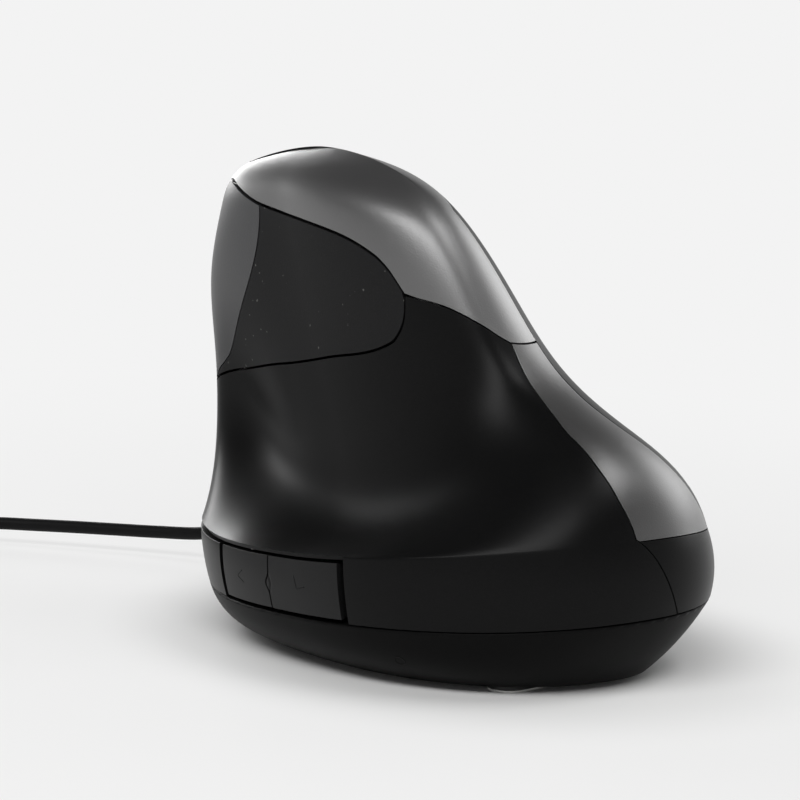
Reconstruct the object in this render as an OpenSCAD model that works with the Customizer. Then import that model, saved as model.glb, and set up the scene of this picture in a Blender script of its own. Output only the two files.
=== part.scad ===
// Vertical ergonomic mouse, right handed, with a coiled cable.
// +Z is up, +Y is the nose with the cable, -X is the thumb side, +X the finger side.

/* [Body] */
// Width of the body over the skirt
body_w = 71; // [68:0.5:74]
// Length of the body from tail to nose
body_l = 101; // [98:0.5:104]
// Height of the body above the feet
body_h = 83.5; // [82:0.5:86]
// Wall of the shells
shell_t = 2; // [1.6:0.1:2.2]
// Gap along a fixed seam
seam = 0.3; // [0.2:0.05:0.5]
// Height of the glide feet
foot_h = 1; // [0.6:0.1:1.4]
// Depth of the thumb scoop at the front
scoop_d = 4; // [2:0.5:5]

/* [Buttons] */
// Gap along the sides of a moving button
button_gap = 0.4; // [0.35:0.05:0.6]
// Gap over the top edge of the index button
button_gap_top = 0.75; // [0.7:0.05:1]
// Gap before the front edge of both click buttons
button_gap_front = 0.9; // [0.85:0.05:1.2]
// Slope of the finger side
finger_slope = 68; // [66:0.5:70]
// Thickness of the button levers
lever_t = 1.8; // [1.4:0.1:2.2]
// Diameter of the pivot pins
pivot_d = 2; // [1.6:0.1:2.4]
// Radial clearance of a turning fit
fit = 0.05; // [0.02:0.01:0.1]
// Travel of the thumb buttons
thumb_travel = 0.6; // [0.4:0.1:0.8]

/* [Wheel] */
// Outer radius of the wheel
wheel_r = 11; // [10:0.25:11.5]
// Width of the wheel
wheel_w = 6; // [5.4:0.1:6.4]
// Height of the wheel above the skin
wheel_out = 3; // [2:0.25:3.5]
// Thickness of the rubber tyre
tyre_t = 1.6; // [1.2:0.1:2]
// Diameter of the axle
axle_d = 2; // [1.6:0.1:2.4]
// Wall of the wheel carrier
carrier_t = 1.6; // [1.4:0.1:1.8]

/* [Boards] */
// Thickness of every circuit board
board_t = 1.6; // [1:0.1:1.8]
// Height of the main board above the tray floor
board_up = 4; // [3.5:0.25:5]
// Diameter of the screw shanks
screw_d = 3; // [2.5:0.1:3.2]

/* [Cable] */
// Diameter of the cable
cable_d = 2.5; // [2:0.1:2.8]
// Radial step of the coil
coil_step = 3.4; // [3.3:0.05:4]
// Height of one layer of the coil
coil_layer = 3.3; // [3.2:0.05:3.8]
// Outer radius of the coil at mid cable
coil_r = 20; // [19:0.5:24]

/* [Hidden] */

$fn = 32;
kx = body_w / 71;
ky = body_l / 101;
kz = body_h / 83.5;
half_gap = seam / 2;

// Guide sizes, one row per level, from low to high.
// Thumb x z, finger x z, nose y z x, tail y z, centre x y, nose and tail roundness.
TRAY = [
  [-29, foot_h, 21, foot_h, 43, foot_h, 0, -40, foot_h, 0, 0, 2.3, 2.15],
  [-35, 4, 28, 5.5, 49, 3, 0, -45, 5.5, 0, 0, 2.3, 2.15],
  [-36.5, 10.5, 33, 12, 50.5, 10, 0, -48.5, 12.5, 0, 0, 2.3, 2.15]];
SKIRT = [
  [-36.5, 10.5, 33, 12, 50.5, 10, 0, -48.5, 12.5, 0, 0, 2.3, 2.15],
  [-38, 15.5, 34.5, 16, 51.5, 15, 0, -50, 19, 0, 0, 2.3, 2.15],
  [-37.5, 21, 32.5, 21, 51.5, 20, -1, -47.5, 25.5, 0, 0, 2.3, 2.15]];
UPPER = [
  [-37.5, 21, 32.5, 21, 51.5, 20, -1, -47.5, 25.5, 0, 0, 2.3, 2.15],
  [-30, 21.5, 31, 26, 52, 26, -3, -45, 35, 0, 0, 2.6, 2.15],
  [-20, 22.5, 21, 36, 53, 38, -6, -34, 42, -2, 6, 3, 2.15],
  [-18, 38, 15, 50, 52, 50, -7, -20, 47, -4, 12, 3, 2.15],
  [-20, 56, 9, 67, 50, 62, -7, -14, 59, -7, 18, 3, 2.15],
  [-20, 76, 1, 81, 46, 72, -5, -8, 71, -9, 24, 2.8, 2.15],
  [-18, 80.5, -3, 82, 46, 78.5, -4, -2, 77, -9.5, 28, 2.5, 2.15],
  [-8, 83.5, -8, 83.5, 45, 80, -4, 5, 79.5, -8, 28, 2.2, 2.15]];
KNOTS = [0, 0, 0, 0, 0.2, 0.4, 0.6, 0.8, 1, 1, 1, 1];
// Scoop for the thumb tip: angle, its spread, level, its spread
SCOOP = [144, 12, 1.3, 0.14];
// The ledge dips at the thumb tip and rises toward the tail: height, angle, its spread
LEDGE_DIP = [1.75, 150, 26];
LEDGE_RISE = [0.95, 218, 28];
function bell(x, mid, spread) = exp(-pow((x - mid) / spread, 2) / 2);
function ledge_shift(a, v) =
  LEDGE_RISE[0] * bell(a, LEDGE_RISE[1], LEDGE_RISE[2]) * (v <= 1 ? max(0, v) : bell(v, 1, 0.2))
  - LEDGE_DIP[0] * bell(a, LEDGE_DIP[1], LEDGE_DIP[2]) * (v < 0 ? 1 + v : v <= 1 ? 1 : bell(v, 1, 0.15));

function basis(i, p, t) = p == 0 ? (KNOTS[i] <= t && t < KNOTS[i + 1] ? 1 : 0)
  : (KNOTS[i + p] > KNOTS[i] ? (t - KNOTS[i]) / (KNOTS[i + p] - KNOTS[i]) * basis(i, p - 1, t) : 0)
  + (KNOTS[i + p + 1] > KNOTS[i + 1]
    ? (KNOTS[i + p + 1] - t) / (KNOTS[i + p + 1] - KNOTS[i + 1]) * basis(i + 1, p - 1, t) : 0);
function three(t) = [(1 - t) * (1 - t), 2 * t * (1 - t), t * t];
function eight(t) = [for (i = [0:7]) basis(i, 3, min(t, 0.999999))];
function level(v) = v < 0 ? three(v + 1) * TRAY : v <= 1 ? three(v) * SKIRT : eight(v - 1) * UPPER;
function ring_point(g, a, v) = let (
  c = cos(a), s = sin(a), n = s >= 0 ? g[11] : g[12],
  r = pow(pow(abs(c), n) + pow(abs(s), n), -1 / n),
  dip = scoop_d * bell(a, SCOOP[0], SCOOP[1]) * bell(v, SCOOP[2], SCOOP[3]),
  x = g[9] + (c >= 0 ? g[2] - g[9] : g[9] - g[0]) * c * r + (s >= 0 ? g[6] * s * s : 0) + dip,
  y = g[10] + (s >= 0 ? g[4] - g[10] : g[10] - g[7]) * s * r,
  z = (c >= 0 ? g[3] : g[1]) * c * c + (s >= 0 ? g[5] : g[8]) * s * s + ledge_shift(a, v))
  [x * kx, y * ky, foot_h + (z - foot_h) * kz];
// A point of the skin at an angle and a level, its outward direction and its stretch
function skin(a, v) = ring_point(level(v), a, v);
function across(a, v) = let (g = level(v)) ring_point(g, a + 0.5, v) - ring_point(g, a - 0.5, v);
function along(a, v) = let (h = min(v + 0.004, 2), l = max(v - 0.004, -1))
  (skin(a, h) - skin(a, l)) / (h - l);
function out(a, v) = let (n = cross(across(a, v), along(a, v))) n / norm(n);
function inside(a, v, d) = skin(a, v) - d * out(a, v);

// Seams of the skin as angle and level
THUMB_TOP = [[117, 1.3], [137, 1.4], [161, 1.485], [186, 1.527], [205, 1.54], [215, 1.555],
  [219, 1.572], [223, 1.6], [226.5, 1.65], [243, 1.625], [262, 1.567], [276.5, 1.512]];
CAP_LOW = [[62, 1.83], [80, 1.88], [90, 1.89], [125, 1.89], [162, 1.803], [186, 1.777], [205, 1.757],
  [217, 1.728], [222, 1.7], [226.5, 1.65], [243, 1.625], [262, 1.567], [276.5, 1.512], [304, 1.48],
  [305, 1.61], [306, 1.71], [307, 1.77], [308, 1.83]];
PALM_LEFT = [[0, 279], [0.75, 270], [1, 265], [1.06, 261.5], [1.13, 259.5], [1.2, 259.5], [1.28, 263],
  [1.37, 269], [1.512, 276.5]];
PALM_RIGHT = [[0, 308], [0.75, 311], [1, 309], [1.06, 304], [1.12, 299], [1.2, 296], [1.28, 297.5],
  [1.36, 301], [1.48, 304],
  [1.61, 305], [1.71, 306], [1.77, 307], [1.83, 308]];
function thumb_top(a) = lookup(a, THUMB_TOP);
function cap_low(a) = lookup(a, CAP_LOW);
function panel_edge(b) = 129 + 32 * (1 - (1 - b) * (1 - b));

// Moves the rim of a grid inward by the gaps at its left, right, low and high side
function trim(uv, gap) = let (n = len(uv) - 1, m = len(uv[0]) - 1)
  [for (j = [0:n]) [for (i = [0:m]) let (
    a = uv[j][i][0], v = uv[j][i][1],
    da = i == 0 ? gap[0] : i == m ? -gap[1] : 0,
    dv = j == 0 ? gap[2] : j == n ? -gap[3] : 0)
    [da == 0 ? a : a + da / norm(across(a, v)), dv == 0 ? v : v + dv / norm(along(a, v))]]];
all_cells = function (i, j) true;

// A wall that follows the skin over a grid of angles and levels, with the cells that has() keeps.
// back_of() gives the inner points where they aren't simply at depth t.
module sheet(uv, t, has = all_cells, back_of = undef) {
  n = len(uv) - 1;
  m = len(uv[0]) - 1;
  face = [for (row = uv) for (p = row) skin(p[0], p[1])];
  back = [for (j = [0:n]) for (i = [0:m]) let (p = uv[j][i])
    is_undef(back_of) ? inside(p[0], p[1], t) : back_of(i, j, p)];
  k = len(face);
  at = function (i, j) j * (m + 1) + i;
  kept = function (i, j) i >= 0 && j >= 0 && i < m && j < n && has(i, j);
  wall = function (p, q) [[p, q, q + k], [p, q + k, p + k]];
  polyhedron(concat(face, back), [for (j = [0:n - 1]) for (i = [0:m - 1]) if (kept(i, j))
    let (p = at(i, j), q = at(i, j + 1), r = at(i + 1, j + 1), s = at(i + 1, j))
    each concat([[p, q, r], [p, r, s], [p + k, r + k, q + k], [p + k, s + k, r + k]],
      kept(i - 1, j) ? [] : wall(q, p), kept(i, j + 1) ? [] : wall(r, q),
      kept(i + 1, j) ? [] : wall(s, r), kept(i, j - 1) ? [] : wall(p, s))], 4);
}
function blend(a, b, t) = a + (b - a) * t;
SKIRT_ROWS = [0, 0.25, 0.75, 1];

module base_tray() {
  color("#161616") difference() {
    union() {
      tray_pan();
      for (p = LEGS) translate([p.x, p.y, floor_z - 1]) cylinder(d = boss_d, h = leg_z - floor_z + 1);
      for (p = BOARD_POSTS) translate([p.x, p.y, floor_z - 1]) cylinder(d = post_d, h = board_up + 1);
    }
    for (p = LEGS) translate([p.x, p.y, 0]) {
      cylinder(d = screw_d + 2 * hole_gap, h = leg_z + 1);
      cylinder(d = screw_head_d + 2 * hole_gap, h = screw_seat);
    }
    for (p = BOARD_POSTS) translate([p.x, p.y, floor_z]) cylinder(d = small_screw_d, h = board_up + 1);
    translate([SENSOR.x, SENSOR.y, 0]) cylinder(d = lens_d + 2 * hole_gap, h = floor_z + 1);
  }
}
TRAY_N = 60;
TRAY_ROWS = [-1, -0.75, -0.5, -0.25, 0];
module tray_pan() {
  rows = len(TRAY_ROWS);
  angles = [for (i = [0:TRAY_N - 1]) i * 360 / TRAY_N];
  level_at = function (v, a) v == 0 ? v - half_gap / norm(along(a, v - 0.01)) : v;
  outer = [for (v = TRAY_ROWS) for (a = angles) skin(a, level_at(v, a))];
  inner = [for (k = [1:rows]) let (v = TRAY_ROWS[rows - k]) for (a = angles)
    let (p = v == 0 ? skin(a, level_at(v, a)) - shell_t * out(a, 0.02) : inside(a, v, shell_t))
    k == rows ? [p.x, p.y, floor_z] : p];
  ring = function (k, i) k * TRAY_N + i % TRAY_N;
  polyhedron(concat(outer, inner), concat(
    [[for (i = [0:TRAY_N - 1]) ring(0, i)]],
    [for (k = [0:2 * rows - 2]) for (i = [0:TRAY_N - 1]) each [
      [ring(k, i), ring(k + 1, i), ring(k + 1, i + 1)], [ring(k, i), ring(k + 1, i + 1), ring(k, i + 1)]]],
    [[for (i = [1:TRAY_N]) ring(2 * rows - 1, TRAY_N - i)]]), 4);
}

THUMB_COLS = [118, 124, 130, 137, 143, 149, 155, 161, 167, 174, 180, 186, 192, 196, 197, 201, 205, 210,
  215, 219, 223, 226.5];
// The ledge thins to a lip over the front band and the thumb buttons, up to the lip level
lip_t = 0.6;
lip_v = 1.03;
lip_cols = 14;
// Inner corner of the wall under the ledge, at full depth from both faces
function mitre(a, t) = let (p = out(a, 0.98), q = out(a, 1.02)) skin(a, 1) - t * (p + q) / (1 + p * q);
module thumb_shell() {
  m = len(THUMB_COLS);
  uv = [for (j = [0:12]) [for (i = [0:m + 4]) let (
    v0 = j < 3 ? SKIRT_ROWS[j] : j == 3 ? 1 : lip_v,
    b = max(0, j - 4) / 8,
    edge = lookup(j <= 4 ? v0 : blend(lip_v, 1.512, b), PALM_LEFT),
    a = i < m ? THUMB_COLS[i] : blend(226.5, edge, (i - m + 1) / 5),
    top = thumb_top(i < m ? a : blend(226.5, 276.5, (i - m + 1) / 5)))
    [a, j <= 4 ? v0 : blend(lip_v, top, b)]]];
  color("#1c1c1d") sheet(trim(uv, [seam, half_gap, half_gap, half_gap]), shell_t,
    function (i, j) j > 2 || i >= lip_cols,
    function (i, j, p) j == 3 && i >= lip_cols ? mitre(p[0], shell_t)
      : inside(p[0], j == 3 ? 1.02 : p[1], j > 2 && j < 5 && i < lip_cols ? lip_t : shell_t)
        + (j == 3 ? skin(p[0], 1) - skin(p[0], 1.02) : [0, 0, 0]));
}

// Level of the top of the front band and of the thumb buttons, under the ledge
lip_low = 0.9;
FINGER_COLS = [-38, -29, -20, -10, 0, 10, 20, 30, 38, 46, 54, 63, 72, 81, 90, 100, 109, 118, 127, 137,
  146, 155];
FINGER_ROWS = [0, 0.25, 0.75, 1, 1.06, 1.12, 1.18, 1.24, 1.3, 1.36, 1.42, 1.48, 1.545, 1.61, 1.66,
  1.71, 1.77, 1.83];
module finger_shell() {
  uv = [for (v = FINGER_ROWS) [for (i = [0:len(FINGER_COLS) + 1]) let (edge = lookup(v, PALM_RIGHT) - 360)
    [i < 2 ? blend(edge, -38, i / 2) : FINGER_COLS[i - 2], i > 19 && v == 1 ? lip_low : v]]];
  keep = function (i, j) let (
    a = i < 2 ? -45 : FINGER_COLS[i - 2] + 1, v = FINGER_ROWS[j] + 0.01)
    !(a > -20 && a < 46 && v > 1.24) && !(a > -38 && a < 46 && v > 1.48)
    && !(a > 63 && v > 1.3) && !(a > 118 && v > 1)
    && !(a > 72 && a < 81 && v > 0.25 && v < 0.75);
  color("#1a1a1b") sheet(trim(uv, [half_gap, half_gap, half_gap, half_gap]), shell_t, keep);
}

module palm_cover() {
  uv = [for (j = [0:11]) [for (i = [0:6]) let (
    b = max(0, j - 3) / 8,
    vl = j <= 3 ? SKIRT_ROWS[j] : blend(1, 1.512, b),
    vr = j <= 3 ? SKIRT_ROWS[j] : blend(1, 1.48, b))
    [blend(lookup(vl, PALM_LEFT), lookup(vr, PALM_RIGHT), i / 6), blend(vl, vr, i / 6)]]];
  color("#242425") sheet(trim(uv, [half_gap, half_gap, half_gap, half_gap]), shell_t);
}

CAP_COLS = [-38, -30, -22, -14, -6, 2, 10, 18, 26, 34, 44, 54, 63, 72, 81, 90, 99, 108, 117, 125, 134,
  143, 152, 162, 170, 178, 186, 194, 200, 205, 210, 215, 219, 223, 226.5, 236.5, 246.5, 256.5, 266.5,
  276.5, 285.5, 294.5, 304, 305, 306, 307, 308, 315];
CAP_N = 48;
CAP_ROWS = 7;
CAP_END = 1.985;
cap_gap = half_gap + 0.2;
module top_cover() {
  point = function (i, j) let (
    a0 = CAP_COLS[i],
    v0 = cap_low(a0 < 0 ? a0 + 360 : a0),
    low = v0 + cap_gap / norm(along(a0, v0)),
    b = j / CAP_ROWS,
    a = blend(a0, -37.5 + 7.5 * i, b))
    [a, blend(low, CAP_END, b)];
  uv = [for (j = [0:CAP_ROWS]) for (i = [0:CAP_N - 1]) point(i, j)];
  face = [for (p = uv) skin(p[0], p[1])];
  back = [for (p = uv) inside(p[0], p[1], shell_t)];
  k = len(face);
  at = function (i, j) j * CAP_N + (i + CAP_N) % CAP_N;
  zip = [for (i = [17:40]) let (
    p = at(i, CAP_ROWS), q = at(i + 1, CAP_ROWS), r = at(33 - i, CAP_ROWS), s = at(34 - i, CAP_ROWS))
    each i == 17 ? [[p, r, q]] : i == 40 ? [[p, s, q]] : [[p, s, r], [p, r, q]]];
  color("#2a2b2d") polyhedron(concat(face, back), concat(
    [for (j = [0:CAP_ROWS - 1]) for (i = [0:CAP_N - 1])
      let (p = at(i, j), q = at(i, j + 1), r = at(i + 1, j + 1), s = at(i + 1, j))
      each [[p, q, r], [p, r, s], [p + k, r + k, q + k], [p + k, s + k, r + k]]],
    [for (i = [0:CAP_N - 1]) let (p = at(i, 0), s = at(i + 1, 0)) each [[p, s, s + k], [p, s + k, p + k]]],
    zip, [for (f = zip) [f[0] + k, f[2] + k, f[1] + k]]), 4);
}

PANEL_COLS = [186, 192, 198, 205, 210, 215, 219, 223, 225.6];
module thumb_panel() {
  uv = [for (j = [0:6]) [for (i = [0:12]) let (
    a = i < 4 ? blend(panel_edge(j / 6), 186, i / 4) : PANEL_COLS[i - 4])
    [a, blend(thumb_top(a), cap_low(a), j / 6)]]];
  color("#19191a") sheet(trim(uv, [half_gap, half_gap, seam, half_gap]), shell_t);
}

module nose_bezel() {
  uv = [for (j = [0:6]) [for (i = [0:10]) let (a = blend(63, panel_edge(j / 6), i / 10))
    [a, blend(thumb_top(a), cap_low(a), j / 6)]]];
  color("#2c2c2e") sheet(trim(uv, [seam, half_gap, seam, half_gap]), shell_t);
}

BUTTON_COLS = [-38, -29, -20, -10, 0, 10, 20, 30, 38, 46];
module left_button() {
  uv = [for (v = [1.61, 1.66, 1.71, 1.77, 1.83]) [for (a = BUTTON_COLS) [a, v]]];
  color("#202021") sheet(trim(uv, [button_gap, button_gap_front, button_gap, button_gap_top]), shell_t);
}
module right_button() {
  uv = [for (v = [1.24, 1.3, 1.36, 1.42, 1.48]) [for (i = [2:9]) [BUTTON_COLS[i], v]]];
  color("#202021") sheet(trim(uv, [button_gap, button_gap_front, button_gap, button_gap]), shell_t);
}
// The slot of the wheel leans a little toward the nose so that it stays along the wheel
STRIP_ROWS = [1.48, 1.5, 1.518, 1.545, 1.572, 1.59, 1.61];
slot_lean = 0.0004;
// Half width of the window for the speed button
dpi_half = 4.8;
module wheel_strip() {
  cols = [-38, dpi_a - 8, dpi_a - dpi_half, dpi_a + dpi_half, -11, -6, -1, 8, 16, 23, 29, 35, 41, 46];
  uv = [for (j = [0:6]) [for (a = cols)
    [a, STRIP_ROWS[j] - (j > 0 && j < 6 ? slot_lean * max(0, a - 20) : 0)]]];
  color("#2a2a2b") sheet(trim(uv, [seam, seam, half_gap, half_gap]), shell_t,
    function (i, j) !(j > 0 && j < 5 && i > 5 && i < 12) && !(j > 1 && j < 4 && i == 2));
}

module forward_button() {
  uv = [for (v = [0.03, 0.25, 0.5, 0.75, lip_low]) [for (a = [156, 161, 167, 174]) [a, v]]];
  color("#1e1e1f") sheet(trim(uv, [button_gap, button_gap / 2, button_gap, 0]), shell_t);
}
module back_button() {
  uv = [for (v = [0.03, 0.25, 0.5, 0.75, lip_low]) [for (a = [174, 180, 186, 191, 195.5]) [a, v]]];
  color("#1e1e1f") sheet(trim(uv, [button_gap / 2, 0, button_gap, 0]), shell_t);
}

// The finger side has its own frame: z out of the skin, x down the slope, y forward
wheel_at = skin(19, 1.545);
cf = cos(finger_slope);
sf = sin(finger_slope);
function to_finger(p) = let (d = p - wheel_at) [d.x * cf - d.z * sf, d.y, d.x * sf + d.z * cf];
function from_finger(q) = wheel_at + [q.x * cf + q.z * sf, q.y, q.z * cf - q.x * sf];
function depth(a, v) = to_finger(inside(a, v, shell_t)).z;
module on_finger() {
  translate(wheel_at) rotate([0, finger_slope, 0]) children();
}
module bar(x0, x1, d) {
  translate([x0, 0, 0]) rotate([0, 90, 0]) cylinder(d = d, h = x1 - x0);
}
module block(lo, hi) {
  translate(lo) cube(hi - lo);
}

// Heights on the finger side, from the skin inward
hole_gap = 0.2;
lever_gap = 0.4;
left_top = min([for (a = [-30:10:30]) for (v = [1.65, 1.7, 1.75]) depth(a, v)]) - lever_gap;
right_top = min([for (a = [-15:10:35]) for (v = [1.32, 1.38, 1.44]) depth(a, v)]) - lever_gap;
switch_h = 6.2;
switch_z = min(left_top, right_top) - lever_t - 2.4;
board_z = switch_z - switch_h;
board_gap = 0.2;
plate_t = 2;
plate_z = board_z - board_t - board_gap - plate_t;
pivot_y = -22;
pivot_drop = 2.4;
left_pivot_z = left_top - lever_t - pivot_drop;
right_pivot_z = right_top - lever_t - pivot_drop;
knuckle_d = pivot_d + 2.6;
ear_t = 1.7;
ear_gap = 0.3;
// Lever sides, the press point along the levers and the lever front
LEFT_X = [-14, -9];
RIGHT_X = [9.5, 15.5];
press_y = 2;
lever_front = 6.5;
switch_w = 5.4;
switch_l = 12.8;
plunger_d = 2;
plunger_in = 1.2;

// Room between a press block and its switch, and the stakes that carry the button caps
press_gap = 0.8;
press_l = 3.2;
stake_d = 2.4;
stake_gap = 0.4;
LEFT_STAKES = [[-16, 1.7], [8, 1.7]];
RIGHT_STAKES = [[4, 1.4], [20, 1.4]];

module lever(xs, top, pivot_z, stakes) {
  color("#303032") difference() {
    union() {
      block([xs[0], pivot_y + 2, top - lever_t], [xs[1], lever_front, top]);
      block([xs[0], pivot_y + 0.5, pivot_z], [xs[1], pivot_y + 4, top]);
      translate([0, pivot_y, pivot_z]) bar(xs[0], xs[1], knuckle_d);
      block([xs[0] + 1, press_y - press_l / 2, switch_z + press_gap],
        [xs[1] - 1, press_y + press_l / 2, top - lever_t / 2]);
      for (s = stakes) let (q = to_finger(inside(s[0], s[1], shell_t)))
        translate([q.x, q.y, top - lever_t / 2])
          cylinder(d = stake_d, h = q.z - stake_gap - top + lever_t / 2);
    }
    translate([0, pivot_y, pivot_z]) bar(xs[0] - 1, xs[1] + 1, pivot_d + 2 * fit);
  }
}
module left_lever() {
  on_finger() lever(LEFT_X, left_top, left_pivot_z, LEFT_STAKES);
}
module right_lever() {
  on_finger() lever(RIGHT_X, right_top, right_pivot_z, RIGHT_STAKES);
}
module plunger(xs) {
  color("#b8402c") translate([(xs[0] + xs[1]) / 2, press_y, switch_z - plunger_in])
    cylinder(d = plunger_d, h = plunger_in + press_gap);
}
module left_plunger() {
  on_finger() plunger(LEFT_X);
}
module right_plunger() {
  on_finger() plunger(RIGHT_X);
}
module pivot(xs, z) {
  color("#b4b6ba") translate([0, pivot_y, z]) bar(xs[0] - ear_gap - ear_t, xs[1] + ear_gap + ear_t, pivot_d);
}
module left_pivot() {
  on_finger() pivot(LEFT_X, left_pivot_z);
}
module right_pivot() {
  on_finger() pivot(RIGHT_X, right_pivot_z);
}
module click_switch(xs) {
  color("#222224") translate([(xs[0] + xs[1]) / 2, press_y, board_z]) difference() {
    translate([-switch_w / 2, -switch_l / 2, 0]) cube([switch_w, switch_l, switch_h]);
    translate([0, 0, switch_h - 2.2]) cylinder(d = plunger_d + 2 * hole_gap, h = 3);
  }
}
module left_switch() {
  on_finger() click_switch(LEFT_X);
}
module right_switch() {
  on_finger() click_switch(RIGHT_X);
}

// Wheel set
wheel_z = wheel_out - wheel_r;
wheel_gap = 0.5;
arm_in = wheel_w / 2 + wheel_gap;
arm_out = arm_in + carrier_t;
ring_in = wheel_r + 1.2;
ring_out = ring_in + 2.3;
ring_top = wheel_z - axle_d / 2 - 0.4;
ring_low = ring_top - 2.3;
guide_y = -ring_in - 2.8;
guide_d = 2;
guide_wall = 1.6;
wheel_travel = 0.6;
// Small press switches under the wheel and the speed button
tact_w = 5;
tact_y = ring_in + 1.15;
tact_z = ring_low - wheel_travel - 0.3;
tact_in = 0.9;
stem_d = 1.8;
encoder_x = [-arm_out - 3.3, -arm_out - 0.5];
encoder_l = 9;
encoder_wall = 0.6;
module wheel_tyre() {
  color("#101010") on_finger() translate([0, 0, wheel_z]) difference() {
    bar(-wheel_w / 2, wheel_w / 2, 2 * wheel_r);
    bar(-wheel_w / 2 - 1, wheel_w / 2 + 1, 2 * (wheel_r - tyre_t) + 2 * fit);
  }
}
module wheel_hub() {
  color("#3a3a3c") on_finger() translate([0, 0, wheel_z]) difference() {
    bar(-wheel_w / 2, wheel_w / 2, 2 * (wheel_r - tyre_t));
    bar(-wheel_w / 2 - 1, wheel_w / 2 + 1, axle_d + 2 * fit);
    for (i = [0:5]) rotate([i * 60, 0, 0]) translate([0, (wheel_r - tyre_t) * 0.55, 0])
      bar(-wheel_w / 2 - 1, wheel_w / 2 + 1, (wheel_r - tyre_t) * 0.38);
  }
}
module wheel_axle() {
  color("#c4c6ca") on_finger() translate([0, 0, wheel_z]) bar(encoder_x[0] + 0.8, arm_out + 0.4, axle_d);
}
module wheel_carrier() {
  color("#3e3e40") on_finger() difference() {
    union() {
      difference() {
        block([-arm_out, -ring_out, ring_low], [arm_out, ring_out, ring_top]);
        block([-arm_in, -ring_in, ring_low - 1], [arm_in, ring_in, ring_top + 1]);
      }
      for (x = [-arm_out, arm_in]) block([x, -3, ring_low], [x + carrier_t, 3, wheel_z + 2.4]);
      block([-guide_d / 2 - guide_wall, guide_y - guide_d / 2 - guide_wall, ring_low],
        [guide_d / 2 + guide_wall, -ring_in, ring_top + 3]);
      translate([0, tact_y, tact_z - tact_in]) cylinder(d = stem_d, h = ring_low - tact_z + tact_in + 0.6);
    }
    translate([0, 0, wheel_z]) bar(-arm_out - 1, arm_out + 1, axle_d + 2 * fit);
    translate([0, guide_y, ring_low - 1]) cylinder(d = guide_d + 2 * fit, h = ring_top - ring_low + 6);
  }
}
module wheel_switch() {
  color("#2a2a2c") on_finger() translate([0, tact_y, board_z]) difference() {
    translate([-tact_w / 2, -tact_w / 2, 0]) cube([tact_w, tact_w, tact_z - board_z]);
    translate([0, 0, tact_z - board_z - 2 * tact_in]) cylinder(d = stem_d + 2 * hole_gap, h = 3);
  }
}
// The encoder has a slot down from the axle, so that the wheel can be pressed
module wheel_encoder() {
  slot = axle_d + 2 * fit + 2 * hole_gap;
  color("#2f5a3a") on_finger() difference() {
    block([encoder_x[0], -encoder_l / 2, board_z], [encoder_x[1], encoder_l / 2, wheel_z + 3]);
    translate([0, 0, wheel_z]) bar(encoder_x[0] + encoder_wall, encoder_x[1] + 1, slot);
    block([encoder_x[0] + encoder_wall, -slot / 2, wheel_z - wheel_travel - axle_d / 2 - 0.3],
      [encoder_x[1] + 1, slot / 2, wheel_z]);
  }
}

// Speed button on the strip, behind the wheel carrier, in a frame square to the skin there
strip_v = 1.545;
dpi_room = 6.1;
dpi_y = guide_y - guide_d / 2 - guide_wall - dpi_room;
dpi_a = max([for (a = [-33:0.25:-16]) if (to_finger(skin(a, strip_v)).y < dpi_y) a]);
dpi_at = skin(dpi_a, strip_v);
dpi_out = out(dpi_a, strip_v);
dpi_d = 3.6;
dpi_up = 0.7;
dpi_cap = 2.6;
dpi_stem = 3;
dpi_sw_z = dpi_up - dpi_cap - dpi_stem;
dpi_sw_h = 3.5;
module on_dpi() {
  translate(dpi_at) rotate([0, acos(dpi_out.z), atan2(dpi_out.y, dpi_out.x)]) children();
}
module dpi_button() {
  color("#4a4a4c") on_dpi() {
    translate([0, 0, dpi_up - dpi_cap]) cylinder(d = dpi_d, h = dpi_cap);
    translate([0, 0, dpi_sw_z - tact_in - 0.1]) cylinder(d = stem_d, h = dpi_stem + 2);
  }
}
module dpi_switch() {
  color("#2a2a2c") on_dpi() difference() {
    block([-tact_w / 2, -tact_w / 2, dpi_sw_z - dpi_sw_h], [tact_w / 2, tact_w / 2, dpi_sw_z - 0.3]);
    translate([0, 0, dpi_sw_z - 2.2]) cylinder(d = stem_d + 2 * hole_gap, h = 3);
  }
}
dpi_foot = to_finger(dpi_at + dpi_out * (dpi_sw_z - dpi_sw_h));

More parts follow.
